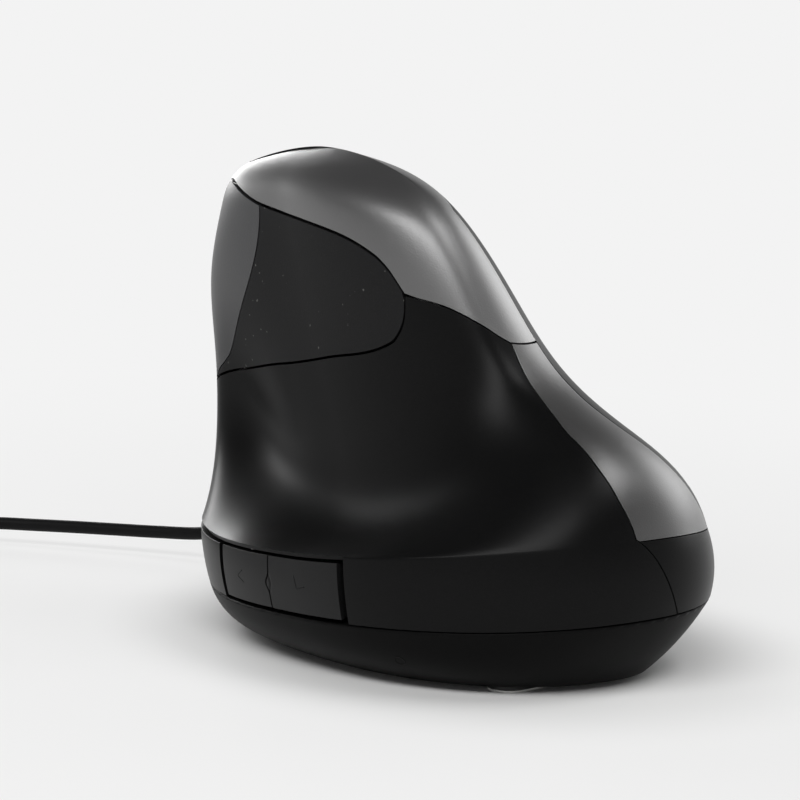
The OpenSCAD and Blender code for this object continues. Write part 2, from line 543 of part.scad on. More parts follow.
// Frame that carries the buttons and the wheel, on two legs screwed to the tray
PLATE_X = [-13.5, 24];
PLATE_Y = [-27, 16];
plate_step = -6;
plate_top_y = 8;
leg_d = 6.4;
boss_d = 8;
leg_z = 12;
leg_top = from_finger([PLATE_X[1] - 2, 0, board_z]).z - 1.6;
leg_x = from_finger([PLATE_X[1] - 1.5, 0, plate_z + plate_t / 2]).x;
LEGS = [[leg_x, wheel_at.y - 19], [leg_x, wheel_at.y + 8]];
module ear(x, z) {
  block([x, pivot_y - knuckle_d / 2, plate_z], [x + ear_t, pivot_y + knuckle_d / 2, z]);
  translate([0, pivot_y, z]) bar(x, x + ear_t, knuckle_d);
}
module mech_frame() {
  color("#2c2c30") difference() {
    union() {
      on_finger() {
        block([plate_step, PLATE_Y[0], plate_z], [PLATE_X[1], PLATE_Y[1], plate_z + plate_t]);
        block([PLATE_X[0], pivot_y - knuckle_d / 2, plate_z],
          [plate_step + 1, plate_top_y, plate_z + plate_t]);
        block([LEFT_X[0] - ear_gap - ear_t, pivot_y - knuckle_d / 2, plate_z],
          [plate_step + 1, pivot_y + knuckle_d / 2, plate_z + plate_t]);
        ear(LEFT_X[0] - ear_gap - ear_t, left_pivot_z);
        ear(LEFT_X[1] + ear_gap, left_pivot_z);
        ear(RIGHT_X[0] - ear_gap - ear_t, right_pivot_z);
        ear(RIGHT_X[1] + ear_gap, right_pivot_z);
        translate([0, guide_y, plate_z]) cylinder(d = guide_d, h = ring_top + 5 - plate_z);
        translate([dpi_foot.x, dpi_foot.y, plate_z]) cylinder(d = 4, h = dpi_foot.z - plate_z - 0.9);
      }
      for (p = LEGS) translate([p.x, p.y, leg_z + board_gap]) cylinder(d = leg_d, h = leg_top - leg_z);
    }
    on_finger() {
      block([-arm_in - 0.8, -wheel_r + 1, plate_z - 1], [arm_in + 0.8, wheel_r - 1, plate_z + plate_t + 1]);
      translate([0, pivot_y, left_pivot_z]) bar(LEFT_X[0] - 5, LEFT_X[1] + 5, pivot_d);
      translate([0, pivot_y, right_pivot_z]) bar(RIGHT_X[0] - 5, RIGHT_X[1] + 5, pivot_d);
    }
    for (p = LEGS) translate([p.x, p.y, leg_z]) cylinder(d = screw_d, h = screw_l);
  }
}
module button_board() {
  color("#1f5a34") on_finger() difference() {
    union() {
      block([plate_step, -18.5, board_z - board_t], [PLATE_X[1] - 2, PLATE_Y[1], board_z]);
      block([LEFT_X[0], -18.5, board_z - board_t], [plate_step + 1, plate_top_y + 0.6, board_z]);
    }
    block([-arm_in - 0.8, -wheel_r + 1, board_z - board_t - 1], [arm_in + 0.8, wheel_r - 1, board_z + 1]);
    translate([0, guide_y, board_z - board_t - 1]) cylinder(d = guide_d + 1, h = board_t + 2);
  }
}

// Screws up through the tray into the legs
screw_l = 12;
screw_head_d = 5.6;
screw_head_h = 1.8;
screw_seat = 4.4;
module base_screws() {
  color("#9a9ca0") for (p = LEGS) translate([p.x, p.y, screw_seat - screw_head_h]) {
    cylinder(d = screw_head_d, h = screw_head_h);
    cylinder(d = screw_d, h = leg_z - screw_seat + screw_head_h + screw_l - 2);
  }
}

// Tray level pieces
floor_z = foot_h + shell_t;
post_d = 5;
small_screw_d = 2;
main_z = floor_z + board_up;
// Room from the wall of the tray to the main board: thumb side, finger side, tail and nose
BOARD_ROOM = [15.9, 8.5, 14.6, 14.9];
BOARD_X = [skin(180, -0.5).x + BOARD_ROOM[0], skin(0, -0.5).x - BOARD_ROOM[1]];
BOARD_Y = [skin(270, -0.5).y + BOARD_ROOM[2], skin(90, -0.5).y - BOARD_ROOM[3]];
BOARD_POSTS = [[BOARD_X[0] + 4, BOARD_Y[0] + 6], [BOARD_X[1] - 6, BOARD_Y[0] + 6],
  [BOARD_X[0] + 4, BOARD_Y[1] - 5], [BOARD_X[1] - 4, BOARD_Y[1] - 5]];
SENSOR = [-5, -2];
lens_d = 8;
lens_up = 0.4;
module main_board() {
  color("#1f5a34") difference() {
    translate([0, 0, main_z]) linear_extrude(board_t) polygon([
      [BOARD_X[0] + 5, BOARD_Y[0]], [BOARD_X[1] - 5, BOARD_Y[0]], [BOARD_X[1], BOARD_Y[0] + 5],
      [BOARD_X[1], BOARD_Y[1]], [BOARD_X[0], BOARD_Y[1]], [BOARD_X[0], BOARD_Y[0] + 5]]);
    for (p = LEGS) translate([p.x, p.y, main_z - 1]) cylinder(d = boss_d + 1, h = board_t + 2);
    for (p = BOARD_POSTS) translate([p.x, p.y, main_z - 1])
      cylinder(d = small_screw_d + hole_gap, h = board_t + 2);
    translate([SENSOR.x, SENSOR.y, main_z - 1]) cylinder(d = 3, h = board_t + 2);
  }
}
module board_screws() {
  color("#9a9ca0") for (p = BOARD_POSTS) translate([p.x, p.y, main_z + board_t]) {
    cylinder(d = 3.8, h = 1.3);
    translate([0, 0, -board_t - 3]) cylinder(d = small_screw_d, h = board_t + 3);
  }
}
module sensor_lens() {
  color("#cfd8dc") translate([SENSOR.x, SENSOR.y, foot_h + lens_up])
    cylinder(d = lens_d, h = main_z - foot_h - lens_up - 0.1);
}
module optical_sensor() {
  color("#151517") translate([SENSOR.x - 5, SENSOR.y - 4, main_z + board_t]) cube([10, 8, 2.6]);
}
module sensor_led() {
  color("#c03028") translate([SENSOR.x, SENSOR.y + 8, main_z + board_t]) cylinder(d = 3, h = 3.4);
}
module controller_chip() {
  color("#151517") translate([SENSOR.x - 3.5, BOARD_Y[0] + 10, main_z + board_t]) cube([7, 7, 1]);
}

// Thumb side switches on a small upright board
post_d_thumb = 3;
FORWARD_A = 165;
BACK_A = 185;
thumb_v = 0.45;
forward_in = inside(FORWARD_A, thumb_v, shell_t);
back_in = inside(BACK_A, thumb_v, shell_t);
post_l = 4.2;
thumb_sw_l = 4.9;
thumb_board_x = max(forward_in.x, back_in.x) + post_l + thumb_sw_l;
post_from = 0.4;
post_end = 0.4;
thumb_sw = 5.6;
module thumb_post(p) {
  color("#303032") translate(p) {
    bar(post_from, post_l - thumb_travel - post_end, post_d_thumb);
    bar(post_from, post_l + plunger_in, plunger_d);
  }
}
module forward_post() {
  thumb_post(forward_in);
}
module back_post() {
  thumb_post(back_in);
}
module thumb_switch(p) {
  color("#222224") translate([p.x + post_l, p.y, p.z]) difference() {
    block([0, -thumb_sw / 2, -thumb_sw / 2], [thumb_board_x - p.x - post_l, thumb_sw / 2, thumb_sw / 2]);
    bar(-1, 2.4, plunger_d + 2 * hole_gap);
  }
}
module forward_switch() {
  thumb_switch(forward_in);
}
module back_switch() {
  thumb_switch(back_in);
}
module thumb_board() {
  color("#1f5a34") block([thumb_board_x, back_in.y - 6, floor_z + bracket_h + board_gap],
    [thumb_board_x + board_t, forward_in.y + 6, back_in.z + 3]);
}
bracket_h = 4.8;
module thumb_bracket() {
  x = thumb_board_x + board_t;
  color("#2c2c30") {
    block([x, back_in.y - 7, floor_z], [x + plate_t, forward_in.y + 7, back_in.z + 3]);
    block([thumb_board_x, back_in.y - 7, floor_z], [x + 1, forward_in.y + 7, floor_z + bracket_h]);
  }
}

// Glide feet: a bar at each end and a ring round the lens
foot_x = -4;
foot_in = 10;
foot_w = 7;
foot_l = 22;
ring_foot_d = 17;
ring_foot_hole = lens_d + 1.4;
module foot(y) {
  color("#d8d8d6") translate([foot_x, y, 0]) linear_extrude(foot_h) {
    square([foot_l, foot_w], center = true);
    for (x = [-foot_l / 2, foot_l / 2]) translate([x, 0]) circle(d = foot_w);
  }
}
module front_foot() {
  foot(skin(90, -1).y - foot_in);
}
module rear_foot() {
  foot(skin(270, -1).y + foot_in);
}
module sensor_foot() {
  color("#d8d8d6") translate([SENSOR.x, SENSOR.y, 0]) difference() {
    cylinder(d = ring_foot_d, h = foot_h);
    translate([0, 0, -1]) cylinder(d = ring_foot_hole, h = foot_h + 2);
  }
}

// Cable with its gland at the nose
PORT = [77.4, 0.5];
port = skin(PORT[0], PORT[1]);
port_y = port.y;
gland_w = 3.6;
gland_h = 4;
// Depth of the gland inside the skin, of its flange, and the start of the boot outside
gland_in = 7;
flange_in = shell_t + 2.2;
flange_w = 1.1;
boot_out = 0.9;
boot_l = 11;
boot_d = 5.2;
boot_wall = 0.6;
bore_gap = 0.05;
module cable_gland() {
  color("#18181a") difference() {
    union() {
      block([port.x - gland_w / 2, port_y - gland_in, port.z - gland_h / 2],
        [port.x + gland_w / 2, port_y + boot_out + 0.2, port.z + gland_h / 2]);
      block([port.x - gland_w / 2 - flange_w, port_y - gland_in, port.z - gland_h / 2 - flange_w],
        [port.x + gland_w / 2 + flange_w, port_y - flange_in, port.z + gland_h / 2 + flange_w]);
      translate([port.x, port_y + boot_out, port.z]) rotate([-90, 0, 0])
        cylinder(d1 = boot_d, d2 = cable_d + 2 * boot_wall, h = boot_l - boot_out);
    }
    translate([port.x, port_y - gland_in - 1, port.z]) rotate([-90, 0, 0])
      cylinder(d = cable_d + 2 * bore_gap, h = gland_in + boot_l + 2);
  }
}
socket_w = 6.4;
socket_l = 8;
socket_in = 3;
module cable_socket() {
  color("#e4e2da") difference() {
    block([port.x - socket_w / 2, BOARD_Y[1] - socket_l, main_z + board_t],
      [port.x + socket_w / 2, BOARD_Y[1], port.z + 2.5]);
    translate([port.x, BOARD_Y[1] - socket_in, port.z]) rotate([-90, 0, 0])
      cylinder(d = cable_d + 2 * bore_gap, h = socket_in + 1);
  }
}
// The ribbon stands on the main board and ends at the lower edge of the button board
ribbon_t = 0.5;
ribbon_w = 9;
ribbon_gap = 1;
ribbon_y = BOARD_Y[1] - socket_l - ribbon_gap;
ribbon_end = from_finger([PLATE_X[1] - 2, 0, board_z - board_t / 2]);
module board_ribbon() {
  x = ribbon_end.x + 5;
  z = main_z + board_t;
  color("#d8d4c8") translate([0, ribbon_y, 0]) rotate([90, 0, 0]) linear_extrude(ribbon_w)
    polygon([[x, z], [x + ribbon_t, z], [x + ribbon_t, ribbon_end.z - 6],
      [ribbon_end.x + 1.2, ribbon_end.z - 0.6], [ribbon_end.x + 0.6, ribbon_end.z - 1],
      [x, ribbon_end.z - 6.2]]);
}

// Route of the free cable from the gland to the coil
ROUTE = [[port.x, port_y, port.z], [port.x, port_y + boot_l + 1, port.z], [8.2, 70, 11.6], [7, 77, 7.4],
  [4, 84.4, 5.4], [0, 93, 4.8], [-4.5, 101, 4.6], [-9, 109, 4.4], [-13.5, 116.5, 4.2], [-18, 123, 4.1],
  [-26, 135, 3.5], [-34.3, 147.9, 2.3]];
ROUTE_STEPS = 3;
TUBE_SIDES = 8;
function catmull(p, i, t) = let (
  a = p[max(i - 1, 0)], b = p[i], c = p[i + 1], d = p[min(i + 2, len(p) - 1)])
  0.5 * (2 * b + (c - a) * t + (2 * a - 5 * b + 4 * c - d) * t * t + (3 * b - a - 3 * c + d) * t * t * t);
function unit(v) = v / norm(v);
coil_start = ROUTE[len(ROUTE) - 1];
coil_dir = unit([-0.56, 0.83, 0]);
free_run = concat([[port.x, BOARD_Y[1] - 2, port.z], [port.x, port_y + boot_l, port.z]],
  [for (i = [1:len(ROUTE) - 2]) for (k = [0:ROUTE_STEPS - 1]) catmull(ROUTE, i, k / ROUTE_STEPS)],
  [coil_start - 2.5 * coil_dir, coil_start]);
// A tube of n sides along a line of points
module tube(pts, d, n) {
  m = len(pts) - 1;
  dirs = [for (i = [0:m]) unit(pts[min(i + 1, m)] - pts[max(i - 1, 0)])];
  rims = [for (i = [0:m]) let (side = unit(cross(dirs[i], [0, 0, 1])), up = cross(side, dirs[i]))
    for (k = [0:n - 1]) pts[i] + d / 2 * (cos(k * 360 / n) * side + sin(k * 360 / n) * up)];
  at = function (i, k) i * n + k % n;
  polyhedron(rims, concat(
    [[for (k = [0:n - 1]) at(0, n - 1 - k)], [for (k = [0:n - 1]) at(m, k)]],
    [for (i = [0:m - 1]) for (k = [0:n - 1]) each [
      [at(i, k), at(i, k + 1), at(i + 1, k + 1)], [at(i, k), at(i + 1, k + 1), at(i + 1, k)]]]), 4);
}
module cable() {
  color("#1b1b1d") tube(free_run, cable_d, TUBE_SIDES);
}

// Coil: four layers, in and out in turn, each half turn at a reversal climbing to the next
coil_turn = atan2(coil_dir.y, coil_dir.x) - 90;
coil_tan = coil_start + coil_dir * cable_d;
coil_mid = [coil_tan.x - coil_r * cos(coil_turn), coil_tan.y - coil_r * sin(coil_turn)];
// The cable leaves the coil straight toward the tail, so that the plug lies along the mouse
leave_a = 180;
climb_turns = 0.5;
coil_turns = 15 + (leave_a - coil_turn) / 360;
layer_turns = (coil_turns - 3 * climb_turns) / 4;
layer_all = layer_turns + climb_turns;
COIL_RINGS = 24;
COIL_SIDES = 6;
function coil_point(t) = let (
  k = min(floor(t / layer_all), 3),
  u = t - k * layer_all,
  s = min(u, layer_turns) * coil_step,
  r = k % 2 == 0 ? coil_r - s : coil_r - layer_turns * coil_step + s,
  h = k + max(0, u - layer_turns) / climb_turns,
  a = coil_turn + 360 * t)
  [coil_mid.x + r * cos(a), coil_mid.y + r * sin(a), coil_start.z + h * coil_layer];
coil_steps = floor(coil_turns * COIL_RINGS);
coil_run = [for (i = [0:coil_steps]) coil_point(i * coil_turns / coil_steps)];
coil_out = coil_point(coil_turns);
coil_exit = unit([-sin(coil_turn + 360 * coil_turns), cos(coil_turn + 360 * coil_turns), 0]);
tail_flat = 8;
tail_drop = 24;
plug_z = 4;
tail_run = [for (i = [1:10]) let (t = i / 10, f = 3 * t * t - 2 * t * t * t)
  [coil_out.x, coil_out.y, 0] + coil_exit * (tail_flat + tail_drop * t)
  + [0, 0, blend(coil_out.z, plug_z, f)]];
plug_at = tail_run[9] + coil_exit * cable_d;
wound_run = concat([coil_start], coil_run,
  [coil_out + coil_exit * tail_flat * 0.5, coil_out + coil_exit * tail_flat], tail_run, [plug_at]);
module cable_coil() {
  color("#1b1b1d") tube(wound_run, cable_d, COIL_SIDES);
}
// Least gap of the wound cable to itself, between points more than half a turn apart
half_turn = COIL_RINGS / 2;
self_gap = min([for (i = [0:len(wound_run) - half_turn - 1])
  min([for (j = [i + half_turn:len(wound_run) - 1]) norm(wound_run[i] - wound_run[j])])]) - cable_d;
function run_length(p) = [for (i = [1:len(p) - 1]) norm(p[i] - p[i - 1])] * [for (i = [1:len(p) - 1]) 1];
echo(least_coil_gap = self_gap, cable_length = run_length(free_run) + run_length(wound_run));

tie_t = 0.8;
tie_w = 6;
tie_gap = 0.3;
tie_a = coil_turn + 260;
module cable_tie() {
  r0 = sqrt(pow(coil_r - layer_turns * coil_step - cable_d / 2, 2) - pow(tie_w / 2, 2)) - tie_gap;
  r1 = coil_r + cable_d / 2 + tie_gap;
  z0 = coil_start.z - cable_d / 2 - 0.2;
  z1 = coil_start.z + 3 * coil_layer + cable_d / 2 + tie_gap;
  color("#0f0f10") translate([coil_mid.x, coil_mid.y, 0]) rotate([0, 0, tie_a]) difference() {
    block([r0 - tie_t, -tie_w / 2, z0 - tie_t], [r1 + tie_t, tie_w / 2, z1 + tie_t]);
    block([r0, -tie_w, z0], [r1, tie_w, z1]);
  }
}

// Plug with the standard metal shell, lying beside the coil
plug_l = 30;
plug_w = 15;
plug_h = 7.6;
shell_w = 12;
shell_h = 4.5;
shell_l = 18.7;
shell_wall = 0.35;
module on_plug() {
  translate([plug_at.x, plug_at.y, plug_at.z]) rotate([0, 0, atan2(coil_exit.y, coil_exit.x)]) children();
}
module usb_plug() {
  color("#19191b") on_plug() {
    block([6, -plug_w / 2, -plug_h / 2], [plug_l, plug_w / 2, plug_h / 2]);
    bar(0, 7, cable_d + 3);
  }
}
module usb_shell() {
  color("#b9bcc0") on_plug() difference() {
    block([plug_l, -shell_w / 2, -shell_h / 2], [plug_l + shell_l, shell_w / 2, shell_h / 2]);
    block([plug_l + 1, -shell_w / 2 + shell_wall, -shell_h / 2 + shell_wall],
      [plug_l + shell_l + 1, shell_w / 2 - shell_wall, shell_h / 2 - shell_wall]);
  }
}
module usb_tongue() {
  color("#e8e8e6") on_plug()
    block([plug_l + 1.05, -shell_w / 2 + shell_wall + 0.05, -shell_h / 2 + shell_wall + 0.05],
      [plug_l + shell_l - 0.6, shell_w / 2 - shell_wall - 0.05, -shell_h / 2 + shell_wall + 1.84]);
}

base_tray();
thumb_shell();
finger_shell();
palm_cover();
top_cover();
thumb_panel();
nose_bezel();
wheel_strip();
mech_frame();
base_screws();
front_foot();
rear_foot();
sensor_foot();
left_button();
left_lever();
left_plunger();
left_pivot();
left_switch();
right_button();
right_lever();
right_plunger();
right_pivot();
right_switch();
button_board();
wheel_carrier();
wheel_axle();
wheel_hub();
wheel_tyre();
wheel_switch();
wheel_encoder();
dpi_button();
dpi_switch();
forward_button();
forward_post();
forward_switch();
back_button();
back_post();
back_switch();
thumb_board();
thumb_bracket();
main_board();
board_screws();
optical_sensor();
sensor_lens();
sensor_led();
controller_chip();
cable_socket();
board_ribbon();
cable_gland();
cable();
cable_coil();
cable_tie();
usb_plug();
usb_shell();
usb_tongue();
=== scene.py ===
# Vertical ergonomic mouse, right handed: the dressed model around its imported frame.
# Lengths are millimetres in the making and metres in Blender. +Z is up, +Y the nose, -X the thumb side.
import math

import bmesh
import bpy
import numpy as np
from mathutils import Matrix, Vector


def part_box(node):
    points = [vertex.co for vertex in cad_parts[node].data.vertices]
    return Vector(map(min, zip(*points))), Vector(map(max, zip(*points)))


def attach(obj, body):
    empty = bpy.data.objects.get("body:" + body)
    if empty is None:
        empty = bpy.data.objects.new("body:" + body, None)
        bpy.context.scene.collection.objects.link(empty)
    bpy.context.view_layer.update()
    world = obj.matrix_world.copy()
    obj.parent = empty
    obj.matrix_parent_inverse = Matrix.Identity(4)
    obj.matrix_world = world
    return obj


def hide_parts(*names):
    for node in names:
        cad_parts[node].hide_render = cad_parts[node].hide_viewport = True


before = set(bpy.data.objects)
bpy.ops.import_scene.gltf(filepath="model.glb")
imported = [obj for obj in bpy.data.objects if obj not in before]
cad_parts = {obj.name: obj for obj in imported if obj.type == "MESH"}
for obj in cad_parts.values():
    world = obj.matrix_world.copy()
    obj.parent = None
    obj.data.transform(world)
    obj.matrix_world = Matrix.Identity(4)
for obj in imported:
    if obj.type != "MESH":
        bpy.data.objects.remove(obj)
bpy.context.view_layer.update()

# The camera stands behind the tail on the thumb side, a little above the desk. Its lens is
# long, so that near and far parts of the mouse keep their proportions.
MM = 0.001
VIEW_SHIFT, VIEW_UP, STAND_OFF = -11, 42, 0.6
view_turn, view_rise = math.radians(-38), math.radians(9)
look_at = Vector((VIEW_SHIFT * math.cos(view_turn), VIEW_SHIFT * math.sin(view_turn), VIEW_UP)) * MM
backward = Vector((math.sin(view_turn) * math.cos(view_rise),
                   -math.cos(view_turn) * math.cos(view_rise), math.sin(view_rise)))
camera = bpy.data.objects.new("camera", bpy.data.cameras.new("camera"))
camera.data.lens = 159.3
camera.data.sensor_width = 36
camera.data.sensor_fit = "HORIZONTAL"
camera.data.clip_start = 0.01
camera.location = look_at + STAND_OFF * backward
camera.rotation_euler = backward.to_track_quat("Z", "Y").to_euler()
bpy.context.collection.objects.link(camera)
bpy.context.scene.camera = camera
bpy.context.scene.view_settings.view_transform = "Standard"

# Mouse cable: a limp round lead in black soft vinyl. It leaves the nose through its gland,
# sinks to the desk, runs out of view and is wound into a coil of fifteen turns.
CABLE_D = 2.5
BOOT_L = 11


def box_of(node):
    """Lowest and highest corner of a CAD node, in millimetres."""
    return [np.array(corner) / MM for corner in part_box(node)]


gland_low, gland_high = box_of("cable_gland")
gland_mid = (gland_low + gland_high) / 2
port = np.array([gland_mid[0], gland_high[1] - BOOT_L, gland_mid[2]])
ROUTE = [np.array(point, float) for point in (
    port, port + [0, BOOT_L + 1, 0], (8.2, 70, 11.6), (7, 77, 7.4), (4, 84.4, 5.4), (0, 93, 4.8),
    (-4.5, 101, 4.6), (-9, 109, 4.4), (-13.5, 116.5, 4.2), (-18, 123, 4.1), (-26, 135, 3.5),
    (-34.3, 147.9, 2.3))]
ROUTE_STEPS = 12
CABLE_INSIDE = 18
COIL_R, COIL_STEP, COIL_LAYER = 20, 3.4, 3.3
FULL_TURNS, CLIMB_TURNS, COIL_STEPS = 15, 0.5, 48
TAIL_FLAT, TAIL_DROP, PLUG_Z = 8, 24, 4


class Wire:
    """An output of a node. Python's operators on it add Math nodes to its tree."""

    def __init__(self, nodes, socket):
        self.nodes, self.socket = nodes, socket

    def maths(self, operation, *values):
        return self.nodes.node("ShaderNodeMath", {"operation": operation}, dict(enumerate(values)))

    def __add__(self, other):
        return self.maths("ADD", self, other)

    def __rsub__(self, other):
        return self.maths("SUBTRACT", other, self)

    def __mul__(self, other):
        return self.maths("MULTIPLY", self, other)

    def __gt__(self, other):
        return self.maths("GREATER_THAN", self, other)

    __radd__, __rmul__ = __add__, __mul__


class Nodes:
    """A node tree in the making."""

    def __init__(self, tree):
        self.tree = tree

    def node(self, kind, settings=None, sockets=None, out=0):
        made = self.tree.nodes.new(kind)
        for name, value in (settings or {}).items():
            setattr(made, name, value)
        for key, value in (sockets or {}).items():
            if isinstance(value, Wire):
                self.tree.links.new(value.socket, made.inputs[key])
            else:
                made.inputs[key].default_value = value
        return Wire(self, made.outputs[out]) if made.outputs else None

    def step(self, value, start, stop):
        return self.node("ShaderNodeMapRange", {"interpolation_type": "SMOOTHSTEP"},
                         {0: value, 1: start, 2: stop})

    def shades(self, mask, low, high):
        low, high = (shade if isinstance(shade, Wire) else (*shade, 1) for shade in (low, high))
        return self.node("ShaderNodeMix", {"data_type": "RGBA"}, {0: mask, 6: low, 7: high}, 2)


class Finish(Nodes):
    """A Principled material. Constants go straight onto the shader's sockets."""

    def __init__(self, name, constants):
        self.material = bpy.data.materials.new(name)
        self.material.use_nodes = True
        super().__init__(self.material.node_tree)
        self.shader = self.tree.nodes["Principled BSDF"]
        self.place = self.node("ShaderNodeTexCoord", out="Object")
        for socket, value in constants.items():
            self.shader.inputs[socket].default_value = value

    def feed(self, wires):
        for socket, wire in wires.items():
            self.tree.links.new(wire.socket, self.shader.inputs[socket])
        return self.material

    def noise(self, size, detail=2, place=None):
        """Noise with lumps of about size millimetres."""
        return self.node("ShaderNodeTexNoise", sockets={
            "Vector": place or self.place, "Scale": 1 / (size * MM), "Detail": detail})

    def bump(self, height, depth):
        return self.node("ShaderNodeBump", sockets={"Distance": depth * MM, "Height": height},
                         out="Normal")


def vinyl(name, shade, rough):
    finish = Finish(name, {"Specular IOR Level": 0.08})
    skin_grain, smear = finish.noise(0.35), finish.noise(9, 3)
    return finish.feed({
        "Base Color": finish.shades(smear, [0.8 * c for c in shade], [1.2 * c for c in shade]),
        "Roughness": rough - 0.08 + 0.16 * smear,
        "Normal": finish.bump(skin_grain, 0.01)})


def unit(vector):
    vector = np.array(vector, float)
    return vector / np.linalg.norm(vector)


def route_point(i, t):
    a, b, c, d = (ROUTE[min(max(k, 0), len(ROUTE) - 1)] for k in range(i - 1, i + 3))
    return 0.5 * (2 * b + (c - a) * t + (2 * a - 5 * b + 4 * c - d) * t ** 2
                  + (3 * b - a - 3 * c + d) * t ** 3)


coil_dir = unit((-0.56, 0.83, 0))
coil_turn = math.atan2(coil_dir[1], coil_dir[0]) - math.pi / 2
coil_mid = ROUTE[-1] + coil_dir * CABLE_D - COIL_R * np.array([math.cos(coil_turn), math.sin(coil_turn), 0])
coil_turns = FULL_TURNS + (math.pi - coil_turn) / (2 * math.pi)
layer_turns = (coil_turns - 3 * CLIMB_TURNS) / 4


def coil_point(t):
    layer = min(int(t / (layer_turns + CLIMB_TURNS)), 3)
    u = t - layer * (layer_turns + CLIMB_TURNS)
    inward = min(u, layer_turns) * COIL_STEP
    r = COIL_R - inward if layer % 2 == 0 else COIL_R - layer_turns * COIL_STEP + inward
    climb = layer + max(0, u - layer_turns) / CLIMB_TURNS
    angle = coil_turn + 2 * math.pi * t
    return coil_mid + [r * math.cos(angle), r * math.sin(angle), climb * COIL_LAYER]


last_turn = coil_turn + 2 * math.pi * coil_turns
coil_exit = np.array([-math.sin(last_turn), math.cos(last_turn), 0])
coil_out = coil_point(coil_turns)
cable_line = [port - [0, CABLE_INSIDE, 0], port, port + [0, BOOT_L, 0]]
for i in range(1, len(ROUTE) - 1):
    last = 0.8 if i == len(ROUTE) - 2 else 1
    cable_line += [route_point(i, last * k / ROUTE_STEPS) for k in range(ROUTE_STEPS)]
cable_line.append(ROUTE[-1])
steps = round(coil_turns * COIL_STEPS)
cable_line += [coil_point(coil_turns * k / steps) for k in range(steps + 1)]
cable_line += [coil_out + coil_exit * TAIL_FLAT / 2, coil_out + coil_exit * TAIL_FLAT]
for k in range(1, 21):
    t = k / 20
    drop = (PLUG_Z - coil_out[2]) * (3 * t * t - 2 * t ** 3)
    cable_line.append(coil_out + coil_exit * (TAIL_FLAT + TAIL_DROP * t) + [0, 0, drop])
plug_at = cable_line[-1] + coil_exit * CABLE_D
cable_line.append(plug_at + coil_exit * 6)

cable_vinyl = vinyl("cable_vinyl", (0.008, 0.008, 0.0083), 0.46)
cable_curve = bpy.data.curves.new("mouse_cable", "CURVE")
cable_curve.dimensions = "3D"
cable_curve.bevel_depth = CABLE_D / 2 * MM
cable_curve.bevel_resolution = 3
cable_curve.use_fill_caps = True
cable_curve.materials.append(cable_vinyl)
strand = cable_curve.splines.new("POLY")
strand.points.add(len(cable_line) - 1)
for point, place in zip(strand.points, cable_line):
    point.co = (*(place * MM), 1)
mouse_cable = bpy.data.objects.new("mouse_cable", cable_curve)
bpy.context.collection.objects.link(mouse_cable)
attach(mouse_cable, "chassis")
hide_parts("cable", "cable_coil")

# Cable gland: a block of soft vinyl moulded onto the cable. Its flange sits behind the nose
# wall, and outside a tapered boot with ribs lets the cable bend without a kink.
GLAND_W, GLAND_H, GLAND_IN = 3.6, 4, 7
FLANGE_W, FLANGE_IN = 1.1, 4.2
BOOT_RIBS, BOOT_RIB_PITCH = 6, 1.55


class Making(Nodes):
    """A Geometry Nodes tree with named sizes. It leaves a plain mesh."""

    def __init__(self, name, *sizes, counts=()):
        super().__init__(bpy.data.node_groups.new(name, "GeometryNodeTree"))
        face = self.tree.interface
        for side in ("INPUT", "OUTPUT"):
            face.new_socket("Geometry", in_out=side, socket_type="NodeSocketGeometry")
        for size in (*counts, *sizes):
            kind = "NodeSocketInt" if size in counts else "NodeSocketFloat"
            face.new_socket(size, in_out="INPUT", socket_type=kind)
        entry = self.tree.nodes.new("NodeGroupInput")
        self.size = {socket.name: Wire(self, socket) for socket in entry.outputs if socket.name}

    def along(self, x=0, y=0, z=0):
        return self.node("ShaderNodeCombineXYZ", sockets={0: x, 1: y, 2: z})

    def joined(self, *shapes):
        whole = self.tree.nodes.new("GeometryNodeJoinGeometry")
        for shape in shapes:
            self.tree.links.new(shape.socket, whole.inputs[0])
        return Wire(self, whole.outputs[0])

    def close(self, shape, material):
        whole = self.node("GeometryNodeRealizeInstances", sockets={0: shape})
        whole = self.node("GeometryNodeSetMaterial", sockets={0: whole, "Material": material})
        whole = self.node("GeometryNodeSetShadeSmooth", sockets={0: whole})
        self.node("NodeGroupOutput", sockets={0: whole})

    def run(self, piece, **sizes):
        modifier = piece.modifiers.new(self.tree.name, "NODES")
        modifier.node_group = self.tree
        for item in self.tree.interface.items_tree:
            if item.in_out == "INPUT" and item.name in sizes:
                modifier[item.identifier] = sizes[item.name]
        settle(piece)


def settle(piece, sharp=38):
    """Applies a piece's modifiers, so that it is a plain mesh, and marks its sharp edges."""
    graph = bpy.context.evaluated_depsgraph_get()
    mesh = bpy.data.meshes.new_from_object(piece.evaluated_get(graph), depsgraph=graph)
    piece.modifiers.clear()
    piece.data = mesh
    if sharp:
        mesh.set_sharp_from_angle(angle=math.radians(sharp))


def solid(name, shapes, material):
    """A mesh object of one or more (points, faces) in millimetres, with its doubles merged."""
    points, faces = [], []
    for some_points, some_faces in shapes:
        faces += [[k + len(points) for k in face] for face in some_faces]
        points += list(some_points)
    mesh = bpy.data.meshes.new(name)
    mesh.from_pydata((np.array(points) * MM).tolist(), [], faces)
    shape = bmesh.new()
    shape.from_mesh(mesh)
    bmesh.ops.remove_doubles(shape, verts=shape.verts, dist=1e-7)
    shape.to_mesh(mesh)
    shape.free()
    mesh.materials.append(material)
    mesh.polygons.foreach_set("use_smooth", [True] * len(mesh.polygons))
    piece = bpy.data.objects.new(name, mesh)
    bpy.context.collection.objects.link(piece)
    return piece


def rounded(piece, width, angle=50):
    """Rounds the edges of a piece."""
    edge = piece.modifiers.new("rounded", "BEVEL")
    edge.width = width * MM
    edge.segments = 2
    edge.limit_method = "ANGLE"
    edge.angle_limit = math.radians(angle)
    edge.harden_normals = True
    return piece


